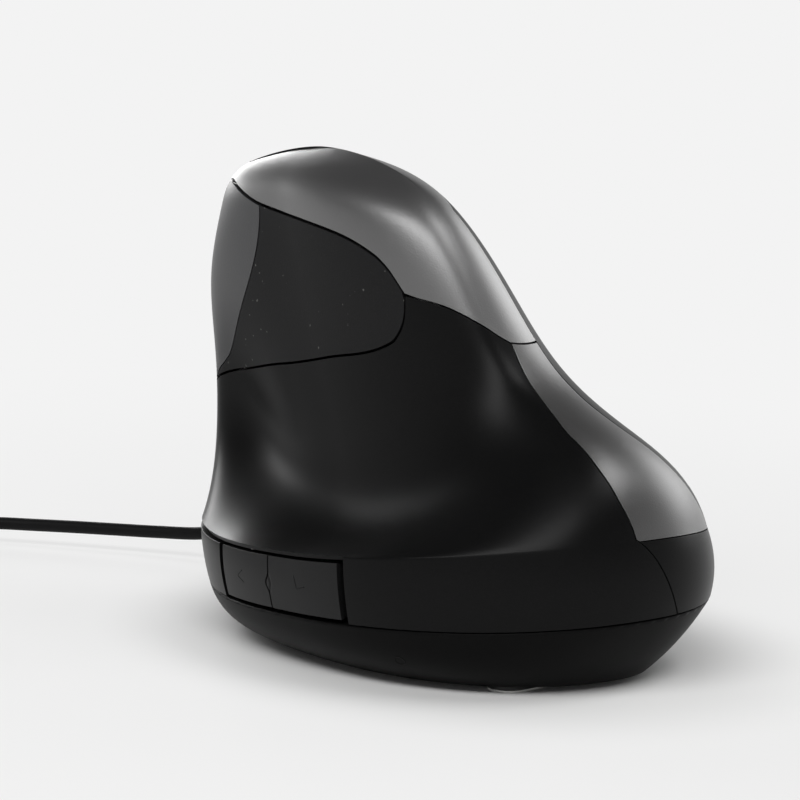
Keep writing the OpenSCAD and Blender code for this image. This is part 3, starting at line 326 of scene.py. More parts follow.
def turned(profile, sides=48, ring=False):
    """A profile of (height, radius) turned about Z. A ring joins its last point to its first."""
    turn = np.arange(sides) * 2 * math.pi / sides
    points = [(r * math.cos(t), r * math.sin(t), z) for z, r in profile for t in turn]
    rows = len(profile)
    faces = [[i * sides + k, i * sides + (k + 1) % sides,
              (i + 1) % rows * sides + (k + 1) % sides, (i + 1) % rows * sides + k]
             for i in range(rows if ring else rows - 1) for k in range(sides)]
    return points, faces


def block(low, high):
    points = [(x, y, z) for z in (low[2], high[2]) for y in (low[1], high[1]) for x in (low[0], high[0])]
    return points, [[0, 2, 3, 1], [4, 5, 7, 6], [0, 1, 5, 4], [1, 3, 7, 5], [3, 2, 6, 7], [2, 0, 4, 6]]


def set_in(piece, at, x, y, z):
    """Moves a mesh from its own axes to a place, given its axes there."""
    grid = np.eye(4)
    grid[:3, :3] = np.column_stack([x, y, z])
    grid[:3, 3] = np.array(at) * MM
    piece.data.transform(Matrix(grid.tolist()))
    piece.data.update()
    return piece


def fitted(piece, body, slot, *nodes):
    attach(piece, body)
    if nodes:
        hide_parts(*nodes)
    return piece


ribs = Making("bend_ribs", "First", "Pitch", "Radius", "Taper", "Thickness", counts=("Ribs",))
rib_line = ribs.node("GeometryNodeMeshLine", {"mode": "OFFSET"}, {
    "Count": ribs.size["Ribs"], "Start Location": ribs.along(z=ribs.size["First"]),
    "Offset": ribs.along(z=ribs.size["Pitch"])})
rib_loop = ribs.node("GeometryNodeCurvePrimitiveCircle", sockets={"Resolution": 36, "Radius": ribs.size["Radius"]})
rib_section = ribs.node("GeometryNodeCurvePrimitiveCircle", sockets={
    "Resolution": 10, "Radius": ribs.size["Thickness"]})
rib = ribs.node("GeometryNodeCurveToMesh", sockets={"Curve": rib_loop, "Profile Curve": rib_section})
rib_set = ribs.node("GeometryNodeInstanceOnPoints", sockets={
    "Points": rib_line, "Instance": rib,
    "Scale": 1 - ribs.node("GeometryNodeInputIndex") * ribs.size["Taper"]})
boot_vinyl = vinyl("boot_vinyl", (0.015, 0.015, 0.016), 0.5)
ribs.close(ribs.joined(ribs.size["Geometry"], rib_set), boot_vinyl)

boot_profile = [(0.9, 1.3), (0.9, 2.5), (1.2, 2.6), (3, 2.3), (7, 1.95), (10.6, 1.72), (11, 1.5), (11, 1.3)]
cable_boot = solid("cable_boot", [
    turned(boot_profile, ring=True),
    block((-GLAND_W / 2, -GLAND_H / 2, -GLAND_IN), (GLAND_W / 2, GLAND_H / 2, 1.1)),
    block((-GLAND_W / 2 - FLANGE_W, -GLAND_H / 2 - FLANGE_W, -GLAND_IN),
          (GLAND_W / 2 + FLANGE_W, GLAND_H / 2 + FLANGE_W, -FLANGE_IN))], boot_vinyl)
rounded(cable_boot, 0.2)
ribs.run(cable_boot, Ribs=BOOT_RIBS, First=2.1 * MM, Pitch=BOOT_RIB_PITCH * MM, Radius=2.2 * MM,
         Taper=0.04, Thickness=0.36 * MM)
set_in(cable_boot, port, (1, 0, 0), (0, 0, -1), (0, 1, 0))
fitted(cable_boot, "chassis", "cable_jacket", "cable_gland")

# Tie: a flat strap of black nylon round one side of the coil, pulled through its square head,
# with a short end left over.
TIE_T, TIE_W, TIE_GAP, TIE_CORNER = 0.8, 6, 0.3, 1.6
tie_turn = coil_turn + math.radians(260)
tie_r0 = math.sqrt((COIL_R - layer_turns * COIL_STEP - CABLE_D / 2) ** 2 - TIE_W ** 2 / 4) - TIE_GAP
tie_r1 = COIL_R + CABLE_D / 2 + TIE_GAP
tie_z0 = ROUTE[-1][2] - CABLE_D / 2 - 0.2
tie_z1 = ROUTE[-1][2] + 3 * COIL_LAYER + CABLE_D / 2 + TIE_GAP
nylon = Finish("tie_nylon", {"Specular IOR Level": 0.45})
nylon_flow = nylon.noise(1.5, 3)
tie_nylon = nylon.feed({
    "Base Color": nylon.shades(nylon_flow, (0.008, 0.008, 0.008), (0.014, 0.014, 0.014)),
    "Roughness": 0.3 + 0.15 * nylon_flow, "Normal": nylon.bump(nylon.noise(0.4), 0.008)})
strap_points, strap_count = [], 0
for corner, (r, z) in enumerate(((tie_r1, tie_z0), (tie_r1, tie_z1), (tie_r0, tie_z1), (tie_r0, tie_z0))):
    side_r, side_z = (1, 1, -1, -1)[corner], (-1, 1, 1, -1)[corner]
    mid_r, mid_z = r + side_r * TIE_T / 2 - side_r * TIE_CORNER, z + side_z * TIE_T / 2 - side_z * TIE_CORNER
    for k in range(7):
        t = math.radians(corner * 90 - 90 + 15 * k)
        for radius in (TIE_CORNER - TIE_T / 2, TIE_CORNER + TIE_T / 2):
            for y in (-TIE_W / 2, TIE_W / 2):
                strap_points.append((mid_r + radius * math.cos(t), y, mid_z + radius * math.sin(t)))
        strap_count += 1
strap_faces = []
for i in range(strap_count):
    p, q = 4 * i, 4 * ((i + 1) % strap_count)
    strap_faces += [[p, q, q + 1, p + 1], [p + 2, p + 3, q + 3, q + 2],
                    [p, p + 2, q + 2, q], [p + 1, q + 1, q + 3, p + 3]]
tie_mid = (tie_r0 + tie_r1) / 2
cable_tie = solid("coil_tie", [
    (strap_points, strap_faces),
    block((tie_mid - 2.6, -3.9, tie_z1 + 0.1), (tie_mid + 2.6, 3.9, tie_z1 + 3.2)),
    block((tie_mid - 9, -2.4, tie_z1 + TIE_T + 0.15), (tie_mid - 2, 2.4, tie_z1 + 2 * TIE_T + 0.1))], tie_nylon)
rounded(cable_tie, 0.15)
settle(cable_tie)
tie_axis = np.array([math.cos(tie_turn), math.sin(tie_turn), 0])
set_in(cable_tie, coil_mid * [1, 1, 0], tie_axis, np.cross((0, 0, 1), tie_axis), (0, 0, 1))
fitted(cable_tie, "chassis", "tie_plastic", "cable_tie")

# Plug: a black moulded grip round the end of the cable, with a ribbed neck and raised bars,
# and the standard folded steel shell with its tongue and four contacts.
PLUG_L = 30
SHELL_W, SHELL_H, SHELL_L, SHELL_WALL = 12, 4.5, 18.7, 0.35
plug_axes = (np.cross((0, 0, 1), coil_exit), (0, 0, 1), coil_exit)


def loft(sections, power, sides=64):
    """Rings of rounded oblongs, each (height, half width, half depth), with both ends closed."""
    turn = np.arange(sides) * 2 * math.pi / sides
    c, s = np.cos(turn), np.sin(turn)
    x, y = np.sign(c) * np.abs(c) ** (2 / power), np.sign(s) * np.abs(s) ** (2 / power)
    points = [(w * x[k], h * y[k], z) for z, w, h in sections for k in range(sides)]
    faces = turned([(z, w) for z, w, h in sections], sides)[1]
    return points, [list(range(sides))[::-1]] + faces + [
        list(range((len(sections) - 1) * sides, len(sections) * sides))]


grips = Making("plug_grips", "First", "Pitch", "Height", "Bar", "Length", counts=("Bars",))
grip_bar = grips.node("GeometryNodeMeshCylinder", sockets={
    "Vertices": 12, "Radius": grips.size["Bar"], "Depth": grips.size["Length"]}, out="Mesh")
grip_sets = []
for side in (1, -1):
    grip_line = grips.node("GeometryNodeMeshLine", {"mode": "OFFSET"}, {
        "Count": grips.size["Bars"],
        "Start Location": grips.along(y=side * grips.size["Height"], z=grips.size["First"]),
        "Offset": grips.along(z=grips.size["Pitch"])})
    grip_sets.append(grips.node("GeometryNodeInstanceOnPoints", sockets={
        "Points": grip_line, "Instance": grip_bar, "Rotation": (0, math.pi / 2, 0)}))
plug_vinyl = vinyl("plug_vinyl", (0.014, 0.014, 0.015), 0.42)
grips.close(grips.joined(grips.size["Geometry"], *grip_sets), plug_vinyl)
plug_grip = solid("plug_grip", [
    loft([(6, 5.4, 2.9), (6.5, 6.6, 3.4), (7.6, 7.3, 3.7), (9.5, 7.5, 3.8), (28.6, 7.5, 3.8), (29.6, 7.35, 3.65),
          (30, 7, 3.3)], 6),
    turned([(0, 1.3), (0, 2), (0.4, 2.2), (7, 2.75), (7, 1.3)], ring=True)], plug_vinyl)
grips.run(plug_grip, Bars=6, First=13 * MM, Pitch=2.3 * MM, Height=3.6 * MM, Bar=0.42 * MM, Length=9 * MM)
ribs.run(plug_grip, Ribs=4, First=0.8 * MM, Pitch=1.5 * MM, Radius=2.15 * MM, Taper=-0.06, Thickness=0.4 * MM)
plug_grip.data.materials.clear()
plug_grip.data.materials.append(plug_vinyl)
plug_grip.data.polygons.foreach_set("material_index", [0] * len(plug_grip.data.polygons))
set_in(plug_grip, plug_at, *plug_axes)
fitted(plug_grip, "chassis", "plug_plastic", "usb_plug")

steel = Finish("shell_steel", {"Metallic": 1.0})
steel_flow = steel.noise(2.5, 3)
shell_steel = steel.feed({
    "Base Color": steel.shades(steel_flow, (0.5, 0.5, 0.51), (0.62, 0.62, 0.63)),
    "Roughness": 0.22 + 0.16 * steel.noise(0.6, 3), "Normal": steel.bump(steel.noise(0.2), 0.003)})
WINDOW_X, WINDOW_Z = (1.5, 4), (39.4, 42)
edge_x, edge_y, bend = SHELL_W / 2, SHELL_H / 2, 0.7
rim_loop = []
for corner, (x, y) in enumerate(((1, 1), (-1, 1), (-1, -1), (1, -1))):
    for k in range(5):
        t = math.radians(90 * corner + 22.5 * k)
        rim_loop.append((x * (edge_x - bend) + bend * math.cos(t), y * (edge_y - bend) + bend * math.sin(t)))
    if corner % 2 == 0:
        rim_loop += [(x * w, y * edge_y) for w in (WINDOW_X[1], WINDOW_X[0], -WINDOW_X[0], -WINDOW_X[1])]
shell_z = [PLUG_L - 0.5, PLUG_L + 3, WINDOW_Z[0], WINDOW_Z[1], PLUG_L + SHELL_L]
count = len(rim_loop)
shell_faces = []
for i in range(len(shell_z) - 1):
    for k in range(count):
        n = (k + 1) % count
        mid = (rim_loop[k][0] + rim_loop[n][0]) / 2
        flat = abs(rim_loop[k][1] - rim_loop[n][1]) < 1e-6
        if not (i == 2 and flat and WINDOW_X[0] < abs(mid) < WINDOW_X[1]):
            shell_faces.append([i * count + k, i * count + n, (i + 1) * count + n, (i + 1) * count + k])
plug_shell = solid("plug_shell", [([(x, y, z) for z in shell_z for x, y in rim_loop], shell_faces)], shell_steel)
folded = plug_shell.modifiers.new("folded", "SOLIDIFY")
folded.thickness = SHELL_WALL * MM
folded.offset = -1
rounded(plug_shell, 0.06)
settle(plug_shell)
set_in(plug_shell, plug_at, *plug_axes)
fitted(plug_shell, "chassis", "plug_steel", "usb_shell")

gilt = Finish("contact_gilt", {"Metallic": 1.0})
gilt_wear = gilt.noise(0.8, 3)
contact_gilt = gilt.feed({
    "Base Color": gilt.shades(gilt_wear, (0.62, 0.45, 0.16), (0.75, 0.57, 0.25)),
    "Roughness": 0.2 + 0.2 * gilt_wear})
contacts = Making("plug_contacts", "Pitch", "Width", "Length", "Height", counts=("Contacts",))
contact_line = contacts.node("GeometryNodeMeshLine", {"mode": "OFFSET"}, {
    "Count": contacts.size["Contacts"], "Offset": contacts.along(x=contacts.size["Pitch"])})
contact_bar = contacts.node("GeometryNodeMeshCube", sockets={
    "Size": contacts.along(contacts.size["Width"], contacts.size["Height"], contacts.size["Length"])}, out="Mesh")
contacts.close(contacts.node("GeometryNodeInstanceOnPoints", sockets={
    "Points": contact_line, "Instance": contact_bar}), contact_gilt)
plug_contacts = solid("plug_contacts", [([(0, 0, 0)], [])], contact_gilt)
contacts.run(plug_contacts, Contacts=4, Pitch=2.33 * MM, Width=1.0 * MM, Height=0.2 * MM, Length=8 * MM)
rounded(plug_contacts, 0.05)
settle(plug_contacts)
set_in(plug_contacts, plug_at + plug_axes[0] * -3.5 + np.array((0, 0, 0.02)) + coil_exit * 42, *plug_axes)
fitted(plug_contacts, "chassis", "plug_steel")


def dress(material, *nodes):
    """Gives CAD nodes their finish."""
    for node in nodes:
        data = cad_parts[node].data
        data.materials.clear()
        data.materials.append(material)


tongue = Finish("tongue_plastic", {"Specular IOR Level": 0.4})
tongue_flow = tongue.noise(3, 3)
dress(tongue.feed({
    "Base Color": tongue.shades(tongue_flow, (0.72, 0.72, 0.7), (0.8, 0.8, 0.78)),
    "Roughness": 0.4 + 0.2 * tongue_flow}), "usb_tongue")

# Base tray: the black pan that closes the body below, moulded with bosses for the screws and
# posts for the main board. A small rubber plug closes a moulding hole on the thumb side.
FOOT_H, SHELL_T, SEAM = 1, 2, 0.3
HALF_GAP = SEAM / 2
# Guide sizes of the body's skin, one row per level, from low to high: thumb x z, finger x z,
# nose y z x, tail y z, centre x y, nose and tail roundness.
TRAY = np.array([
    (-29, 1, 21, 1, 43, 1, 0, -40, 1, 0, 0, 2.3, 2.15),
    (-35, 4, 28, 5.5, 49, 3, 0, -45, 5.5, 0, 0, 2.3, 2.15),
    (-36.5, 10.5, 33, 12, 50.5, 10, 0, -48.5, 12.5, 0, 0, 2.3, 2.15)])
SKIRT = np.array([
    TRAY[2],
    (-38, 15.5, 34.5, 16, 51.5, 15, 0, -50, 19, 0, 0, 2.3, 2.15),
    (-37.5, 21, 32.5, 21, 51.5, 20, -1, -47.5, 25.5, 0, 0, 2.3, 2.15)])
UPPER = np.array([
    SKIRT[2],
    (-30, 21.5, 31, 26, 52, 26, -3, -45, 35, 0, 0, 2.6, 2.15),
    (-20, 22.5, 21, 36, 53, 38, -6, -34, 42, -2, 6, 3, 2.15),
    (-18, 38, 15, 50, 52, 50, -7, -20, 47, -4, 12, 3, 2.15),
    (-20, 56, 9, 67, 50, 62, -7, -14, 59, -7, 18, 3, 2.15),
    (-20, 76, 1, 81, 46, 72, -5, -8, 71, -9, 24, 2.8, 2.15),
    (-18, 80.5, -3, 82, 46, 78.5, -4, -2, 77, -9.5, 28, 2.5, 2.15),
    (-8, 83.5, -8, 83.5, 45, 80, -4, 5, 79.5, -8, 28, 2.2, 2.15)])
KNOTS = (0, 0, 0, 0, 0.2, 0.4, 0.6, 0.8, 1, 1, 1, 1)


def bell(x, mid, width):
    return np.exp(-((x - mid) / width) ** 2 / 2)


def three_shares(t):
    return np.stack([(1 - t) ** 2, 2 * t * (1 - t), t * t], -1)


def eight_shares(t):
    t = np.clip(t, 0, 0.999999)
    shares = [((KNOTS[i] <= t) & (t < KNOTS[i + 1])).astype(float) for i in range(11)]
    for p in (1, 2, 3):
        raised = []
        for i in range(11 - p):
            low, high = KNOTS[i + p] - KNOTS[i], KNOTS[i + p + 1] - KNOTS[i + 1]
            raised.append((shares[i] * (t - KNOTS[i]) / low if low else 0 * t)
                          + (shares[i + 1] * (KNOTS[i + p + 1] - t) / high if high else 0 * t))
        shares = raised
    return np.stack(shares, -1)


def bare_skin(a, v):
    """The body's skin at an angle round it and a level: -1 foot, 0 tray seam, 1 ledge, 2 crest."""
    a, v = np.broadcast_arrays(np.asarray(a, float), np.asarray(v, float))
    rows = np.where((v < 0)[..., None], three_shares(v + 1) @ TRAY,
                    np.where((v <= 1)[..., None], three_shares(v) @ SKIRT, eight_shares(v - 1) @ UPPER))
    g = np.moveaxis(rows, -1, 0)
    c, s = np.cos(np.radians(a)), np.sin(np.radians(a))
    n = np.where(s >= 0, g[11], g[12])
    r = (np.abs(c) ** n + np.abs(s) ** n) ** (-1 / n)
    scoop = 4 * bell(a, 144, 12) * bell(v, 1.3, 0.14)
    ledge = (0.95 * bell(a, 218, 28) * np.where(v <= 1, np.maximum(0, v), bell(v, 1, 0.2))
             - 1.75 * bell(a, 150, 26) * np.where(v < 0, 1 + v, np.where(v <= 1, 1, bell(v, 1, 0.15))))
    x = g[9] + np.where(c >= 0, g[2] - g[9], g[9] - g[0]) * c * r + np.where(s >= 0, g[6] * s * s, 0) + scoop
    y = g[10] + np.where(s >= 0, g[4] - g[10], g[10] - g[7]) * s * r
    z = np.where(c >= 0, g[3], g[1]) * c * c + np.where(s >= 0, g[5], g[8]) * s * s + ledge
    return np.stack([x, y, z], -1)


def across(a, v):
    return bare_skin(a + 0.5, v) - bare_skin(a - 0.5, v)


def along(a, v):
    high, low = np.minimum(v + 0.004, 2), np.maximum(v - 0.004, -1)
    return (bare_skin(a, high) - bare_skin(a, low)) / (high - low)[..., None]


def outward(a, v):
    a, v = np.broadcast_arrays(np.asarray(a, float), np.asarray(v, float))
    normal = np.cross(across(a, v), along(a, v))
    return normal / np.linalg.norm(normal, axis=-1, keepdims=True)


def moulded(name, shade, rough, grain=0.22, depth=0.014, gloss=0.4, dust=0.0, **constants):
    """Black plastic with a spark-eroded grain, worn a little smoother in patches, with some dust."""
    finish = Finish(name, {"Specular IOR Level": gloss, **constants})
    pits, patch = finish.noise(grain, 3), finish.noise(18, 3)
    colour = finish.shades(patch, [0.86 * c for c in shade], [1.14 * c for c in shade])
    colour = finish.shades(0.16 * finish.step(pits, 0.5, 0.72), colour, [2.2 * c + 0.004 for c in shade])
    if dust:
        fleck = finish.step(finish.noise(0.9, 1), 0.76, 0.79)
        colour = finish.shades(dust * fleck, colour, (0.2, 0.2, 0.19))
    return finish.feed({
        "Base Color": colour,
        "Roughness": rough - 0.06 + 0.07 * patch + 0.06 * pits,
        "Normal": finish.bump(pits, depth)})


tray_plastic = moulded("tray_plastic", (0.0025, 0.0025, 0.0025), 0.42, depth=0.008, gloss=0.06)
TRAY_SIDES, TRAY_RINGS = 288, 22
floor_z = FOOT_H + SHELL_T
WHEEL_SPOT = (19, 1.545)
wheel_at = bare_skin(*WHEEL_SPOT)
leg_low, leg_high = box_of("base_screws")
leg_x = (leg_low[0] + leg_high[0]) / 2
LEGS = [(leg_x, wheel_at[1] - 19), (leg_x, wheel_at[1] + 8)]
SENSOR = (-5, -2)
LENS_HOLE, HEAD_HOLE, SCREW_HOLE, SCREW_SEAT, LEG_Z, BOSS_R = 4.2, 3, 1.7, 4.4, 12, 4
board_low, board_high = box_of("main_board")
POST_R, POST_HOLE = 2.5, 1
POSTS = [(board_low[0] + 4, board_low[1] + 6), (board_high[0] - 6, board_low[1] + 6),
         (board_low[0] + 4, board_high[1] - 5), (board_high[0] - 4, board_high[1] - 5)]

tray_angles = np.arange(TRAY_SIDES) * 360 / TRAY_SIDES
tray_top = -HALF_GAP / np.linalg.norm(along(tray_angles, np.full(TRAY_SIDES, -0.01)), axis=-1)
outer = [bare_skin(tray_angles, -1 + (1 + tray_top) * k / TRAY_RINGS) for k in range(TRAY_RINGS + 1)]
inner = [outer[-1] - SHELL_T * outward(tray_angles, 0.02)]
inner += [bare_skin(tray_angles, v) - SHELL_T * outward(tray_angles, v) for v in np.linspace(-0.08, -0.9, 12)]
inner.append(bare_skin(tray_angles, -1) - SHELL_T * outward(tray_angles, -1))
inner[-1][:, 2] = floor_z
tray_rings = outer + inner
tray_faces = [[i * TRAY_SIDES + k, i * TRAY_SIDES + (k + 1) % TRAY_SIDES,
               (i + 1) * TRAY_SIDES + (k + 1) % TRAY_SIDES, (i + 1) * TRAY_SIDES + k]
              for i in range(len(tray_rings) - 1) for k in range(TRAY_SIDES)]


def moved(shape, x, y):
    return [(p[0] + x, p[1] + y, p[2]) for p in shape[0]], shape[1]


boss_profile = [(floor_z - 0.5, BOSS_R), (LEG_Z - 0.3, BOSS_R), (LEG_Z, BOSS_R - 0.3), (LEG_Z, SCREW_HOLE),
                (SCREW_SEAT, SCREW_HOLE), (SCREW_SEAT, HEAD_HOLE), (FOOT_H, HEAD_HOLE)]
post_z = board_low[2]
post_profile = [(floor_z - 0.5, POST_R), (post_z - 0.2, POST_R), (post_z, POST_R - 0.2), (post_z, POST_HOLE),
                (floor_z + 0.2, POST_HOLE), (floor_z + 0.2, 0)]
HOLE_SIDES = 48
base_tray = solid("tray_pan", [(np.concatenate(tray_rings), tray_faces)]
                  + [moved(turned(boss_profile, HOLE_SIDES), *leg) for leg in LEGS]
                  + [moved(turned(post_profile, 32), *post) for post in POSTS]
                  + [moved(turned([(floor_z, LENS_HOLE), (FOOT_H, LENS_HOLE)], HOLE_SIDES), *SENSOR)], tray_plastic)
pan = bmesh.new()
pan.from_mesh(base_tray.data)


def fill_flat(height, holes, normal):
    """Closes the pan at a height, round the holes there."""
    def on_edge(vert):
        if abs(vert.co.z - height * MM) > 1e-6:
            return False
        place = np.array(vert.co[:2]) / MM
        on_hole = any(abs(math.dist(place, (x, y)) - r) < 1e-3 for x, y, r in holes)
        return on_hole or vert.index in rim_verts
    ring = 0 if height == FOOT_H else len(tray_rings) - 1
    rim_verts = set(range(ring * TRAY_SIDES, (ring + 1) * TRAY_SIDES))
    edges = [edge for edge in pan.edges if len(edge.link_faces) == 1 and all(on_edge(v) for v in edge.verts)]
    bmesh.ops.triangle_fill(pan, edges=edges, use_beauty=True, normal=normal)


pan.verts.index_update()
fill_flat(FOOT_H, [(*leg, HEAD_HOLE) for leg in LEGS] + [(*SENSOR, LENS_HOLE)], (0, 0, -1))
fill_flat(floor_z, [(*SENSOR, LENS_HOLE)], (0, 0, 1))
for face in pan.faces:
    face.smooth = True
pan.to_mesh(base_tray.data)
pan.free()
rounded(base_tray, 0.2, 60)
settle(base_tray)
fitted(base_tray, "chassis", "shell_plastic", "base_tray")

PLUG_SPOT = (207.75, -0.5)


def stand_on(piece, spot):
    """Sets a turned piece upright on a spot of the skin."""
    out = outward(*spot)
    side = unit(np.cross((0, 0, 1), out))
    set_in(piece, bare_skin(*spot), side, np.cross(out, side), out)


spot_rubber = vinyl("spot_rubber", (0.006, 0.006, 0.006), 0.6)
tray_spot = solid("tray_spot", [turned([(-0.8, 0), (-0.8, 1), (-0.02, 1.05), (0.06, 0.95), (0.02, 0.8),
                                        (-0.1, 0.6), (-0.12, 0)], 32)], spot_rubber)
settle(tray_spot)
stand_on(tray_spot, PLUG_SPOT)
fitted(tray_spot, "chassis", "shell_plastic")

# Base screws: two steel screws with round heads and a cross recess, driven up through the
# bosses of the tray into the legs of the frame.
HEAD_R, HEAD_H, SHANK_R = 2.8, 1.8, 1.5
screw_steel = Finish("screw_steel", {"Metallic": 1.0})
screw_film = screw_steel.noise(1.2, 3)
screw_steel.feed({
    "Base Color": screw_steel.shades(screw_film, (0.36, 0.36, 0.37), (0.52, 0.52, 0.53)),
    "Roughness": 0.28 + 0.2 * screw_film, "Normal": screw_steel.bump(screw_steel.noise(0.3), 0.004)})
screws = Making("tray_screws", "Head radius", "Head height", "Shank radius", "Shank length", "Slot width",
                "Slot length")
screw_head = screws.node("GeometryNodeMeshCylinder", sockets={
    "Vertices": 40, "Radius": screws.size["Head radius"], "Depth": screws.size["Head height"]}, out="Mesh")
slots = [screws.node("GeometryNodeTransform", sockets={
    "Geometry": screws.node("GeometryNodeMeshCube", sockets={"Size": screws.along(
        *(screws.size[name] for name in order), screws.size["Head height"])}, out="Mesh"),
    "Translation": screws.along(z=-0.55 * screws.size["Head height"])})
    for order in (("Slot width", "Slot length"), ("Slot length", "Slot width"))]
for cut in slots:
    screw_head = screws.node("GeometryNodeMeshBoolean", {"operation": "DIFFERENCE", "solver": "EXACT"},
                             {"Mesh 1": screw_head, "Mesh 2": cut}, out="Mesh")
screw_shank = screws.node("GeometryNodeTransform", sockets={
    "Geometry": screws.node("GeometryNodeMeshCylinder", sockets={
        "Vertices": 24, "Radius": screws.size["Shank radius"], "Depth": screws.size["Shank length"]}, out="Mesh"),
    "Translation": screws.along(z=0.5 * screws.size["Shank length"])})
screws.close(screws.node("GeometryNodeInstanceOnPoints", sockets={
    "Points": screws.size["Geometry"], "Instance": screws.joined(screw_head, screw_shank)}), screw_steel.material)
head_z = SCREW_SEAT - HEAD_H / 2
base_screws = solid("tray_screws", [([(x, y, head_z) for x, y in LEGS], [])], screw_steel.material)
screws.run(base_screws, **{"Head radius": HEAD_R * MM, "Head height": HEAD_H * MM, "Shank radius": SHANK_R * MM,
                           "Shank length": (leg_high[2] - head_z) * MM, "Slot width": 0.7 * MM,
                           "Slot length": 3.2 * MM})
rounded(base_screws, 0.12)
settle(base_screws)
fitted(base_screws, "chassis", "steel", "base_screws")
dress(screw_steel.material, "board_screws")

# Glide feet: three pads of pale slippery plastic on black foam tape under the tray, two bars
# and a ring round the lens, with fine scuffs from the desk.
TAPE_Z = 0.25
glide = Finish("glide_pad", {"Specular IOR Level": 0.4})
scuff = glide.noise(0.5, 4, glide.node("ShaderNodeMapping", sockets={"Vector": glide.place, "Scale": (0.12, 1, 1)}))
tape = glide.node("ShaderNodeSeparateXYZ", sockets={0: glide.place}, out="Z") > TAPE_Z * MM
pale_pad = glide.shades(scuff, (0.62, 0.62, 0.6), (0.74, 0.74, 0.72))
dress(glide.feed({
    "Base Color": glide.shades(tape, pale_pad, (0.008, 0.008, 0.008)),
    "Roughness": 0.35 + 0.25 * scuff, "Normal": glide.bump(scuff, 0.01)}), "front_foot", "rear_foot", "sensor_foot")

# Boards: green glass-fibre sheets with copper traces under the lacquer. The main board carries
# the sensor over its clear lens, the lamp, the chip and the cable socket.
board = Finish("board_lacquer", {"Specular IOR Level": 0.5})
trace = board.step(board.node("ShaderNodeTexWave", {"wave_type": "BANDS", "bands_direction": "DIAGONAL"}, {
    "Vector": board.place, "Scale": 260.0, "Distortion": 6.0, "Detail": 1.0, "Detail Scale": 0.4}, 1), 0.45, 0.6)
dress(board.feed({
    "Base Color": board.shades(trace, (0.006, 0.05, 0.02), (0.015, 0.1, 0.04)),
    "Roughness": 0.3 + 0.12 * board.noise(2, 3), "Normal": board.bump(trace, 0.03)}),
    "main_board", "button_board", "thumb_board")


def inner_part(name, low, high, rough, grain=0.5, depth=0.01, **constants):
    """A small part inside: its own colour, mottled, with a faint mould grain."""
    finish = Finish(name, {"Specular IOR Level": 0.4, **constants})
    cloud = finish.noise(4, 3)
    return finish.feed({
        "Base Color": finish.shades(cloud, low, high), "Roughness": rough - 0.06 + 0.12 * cloud,
        "Normal": finish.bump(finish.noise(grain, 3), depth)})


dress(inner_part("chip_epoxy", (0.01, 0.01, 0.011), (0.018, 0.018, 0.019), 0.5, 0.2),
      "optical_sensor", "controller_chip")
dress(inner_part("lens_clear", (0.86, 0.9, 0.92), (0.92, 0.95, 0.96), 0.1, 2, 0.002,
                 **{"Transmission Weight": 0.9, "IOR": 1.49}), "sensor_lens")
dress(inner_part("lamp_red", (0.5, 0.02, 0.015), (0.65, 0.04, 0.03), 0.2, 2, 0.002,
                 **{"Transmission Weight": 0.4}), "sensor_led")
dress(inner_part("socket_nylon", (0.72, 0.7, 0.64), (0.8, 0.78, 0.72), 0.45), "cable_socket")
dress(inner_part("ribbon_film", (0.62, 0.6, 0.52), (0.72, 0.7, 0.62), 0.35), "board_ribbon")

# Frame and click works: black moulded levers on steel pins press the two switches through red
# plungers; the frame that carries them stands on two legs.
dress(inner_part("frame_plastic", (0.03, 0.03, 0.031), (0.042, 0.042, 0.044), 0.5), "mech_frame", "left_lever",
      "right_lever", "wheel_carrier", "thumb_bracket", "forward_post", "back_post")
dress(inner_part("switch_plastic", (0.02, 0.02, 0.022), (0.03, 0.03, 0.032), 0.42), "left_switch", "right_switch",
      "wheel_switch", "dpi_switch", "forward_switch", "back_switch")
dress(inner_part("plunger_red", (0.4, 0.045, 0.025), (0.48, 0.06, 0.035), 0.3), "left_plunger", "right_plunger")
dress(screw_steel.material, "left_pivot", "right_pivot", "wheel_axle")
dress(inner_part("encoder_green", (0.03, 0.13, 0.06), (0.045, 0.17, 0.08), 0.45), "wheel_encoder")

# Scroll wheel: a grey hub with six holes, and round it a soft black rubber tyre with fine
# cross ribs for the finger.
WHEEL_R, WHEEL_W, TYRE_T, WHEEL_OUT, FINGER_SLOPE = 11, 6, 1.6, 3, 68
WHEEL_RIBS = 44
tilt = math.radians(FINGER_SLOPE)
finger_x = np.array([math.cos(tilt), 0, -math.sin(tilt)])
finger_z = np.array([math.sin(tilt), 0, math.cos(tilt)])
wheel_mid = wheel_at + finger_z * (WHEEL_OUT - WHEEL_R)
rubber = Finish("tyre_rubber", {"Specular IOR Level": 0.3})
rubber_bloom = rubber.noise(3, 3)
tyre_rubber = rubber.feed({
    "Base Color": rubber.shades(rubber_bloom, (0.009, 0.009, 0.009), (0.017, 0.017, 0.017)),
    "Roughness": 0.62 + 0.2 * rubber_bloom, "Normal": rubber.bump(rubber.noise(0.15), 0.01)})
tread = Making("tyre_ribs", "Radius", "Rib", "Width", counts=("Ribs",))
tread_rib = tread.node("GeometryNodeTransform", sockets={
    "Geometry": tread.node("GeometryNodeMeshCylinder", sockets={
        "Vertices": 10, "Radius": tread.size["Rib"], "Depth": tread.size["Width"]}, out="Mesh"),
    "Translation": tread.along(x=tread.size["Radius"])})
tread_points = tread.node("GeometryNodePoints", sockets={"Count": tread.size["Ribs"]})
tread_turn = tread.along(z=tread.node("GeometryNodeInputIndex") * (2 * math.pi / WHEEL_RIBS))
tread_set = tread.node("GeometryNodeInstanceOnPoints", sockets={
    "Points": tread_points, "Instance": tread_rib, "Rotation": tread_turn})
tread.close(tread.joined(tread.size["Geometry"], tread_set), tyre_rubber)
bead = WHEEL_R - TYRE_T + 0.05
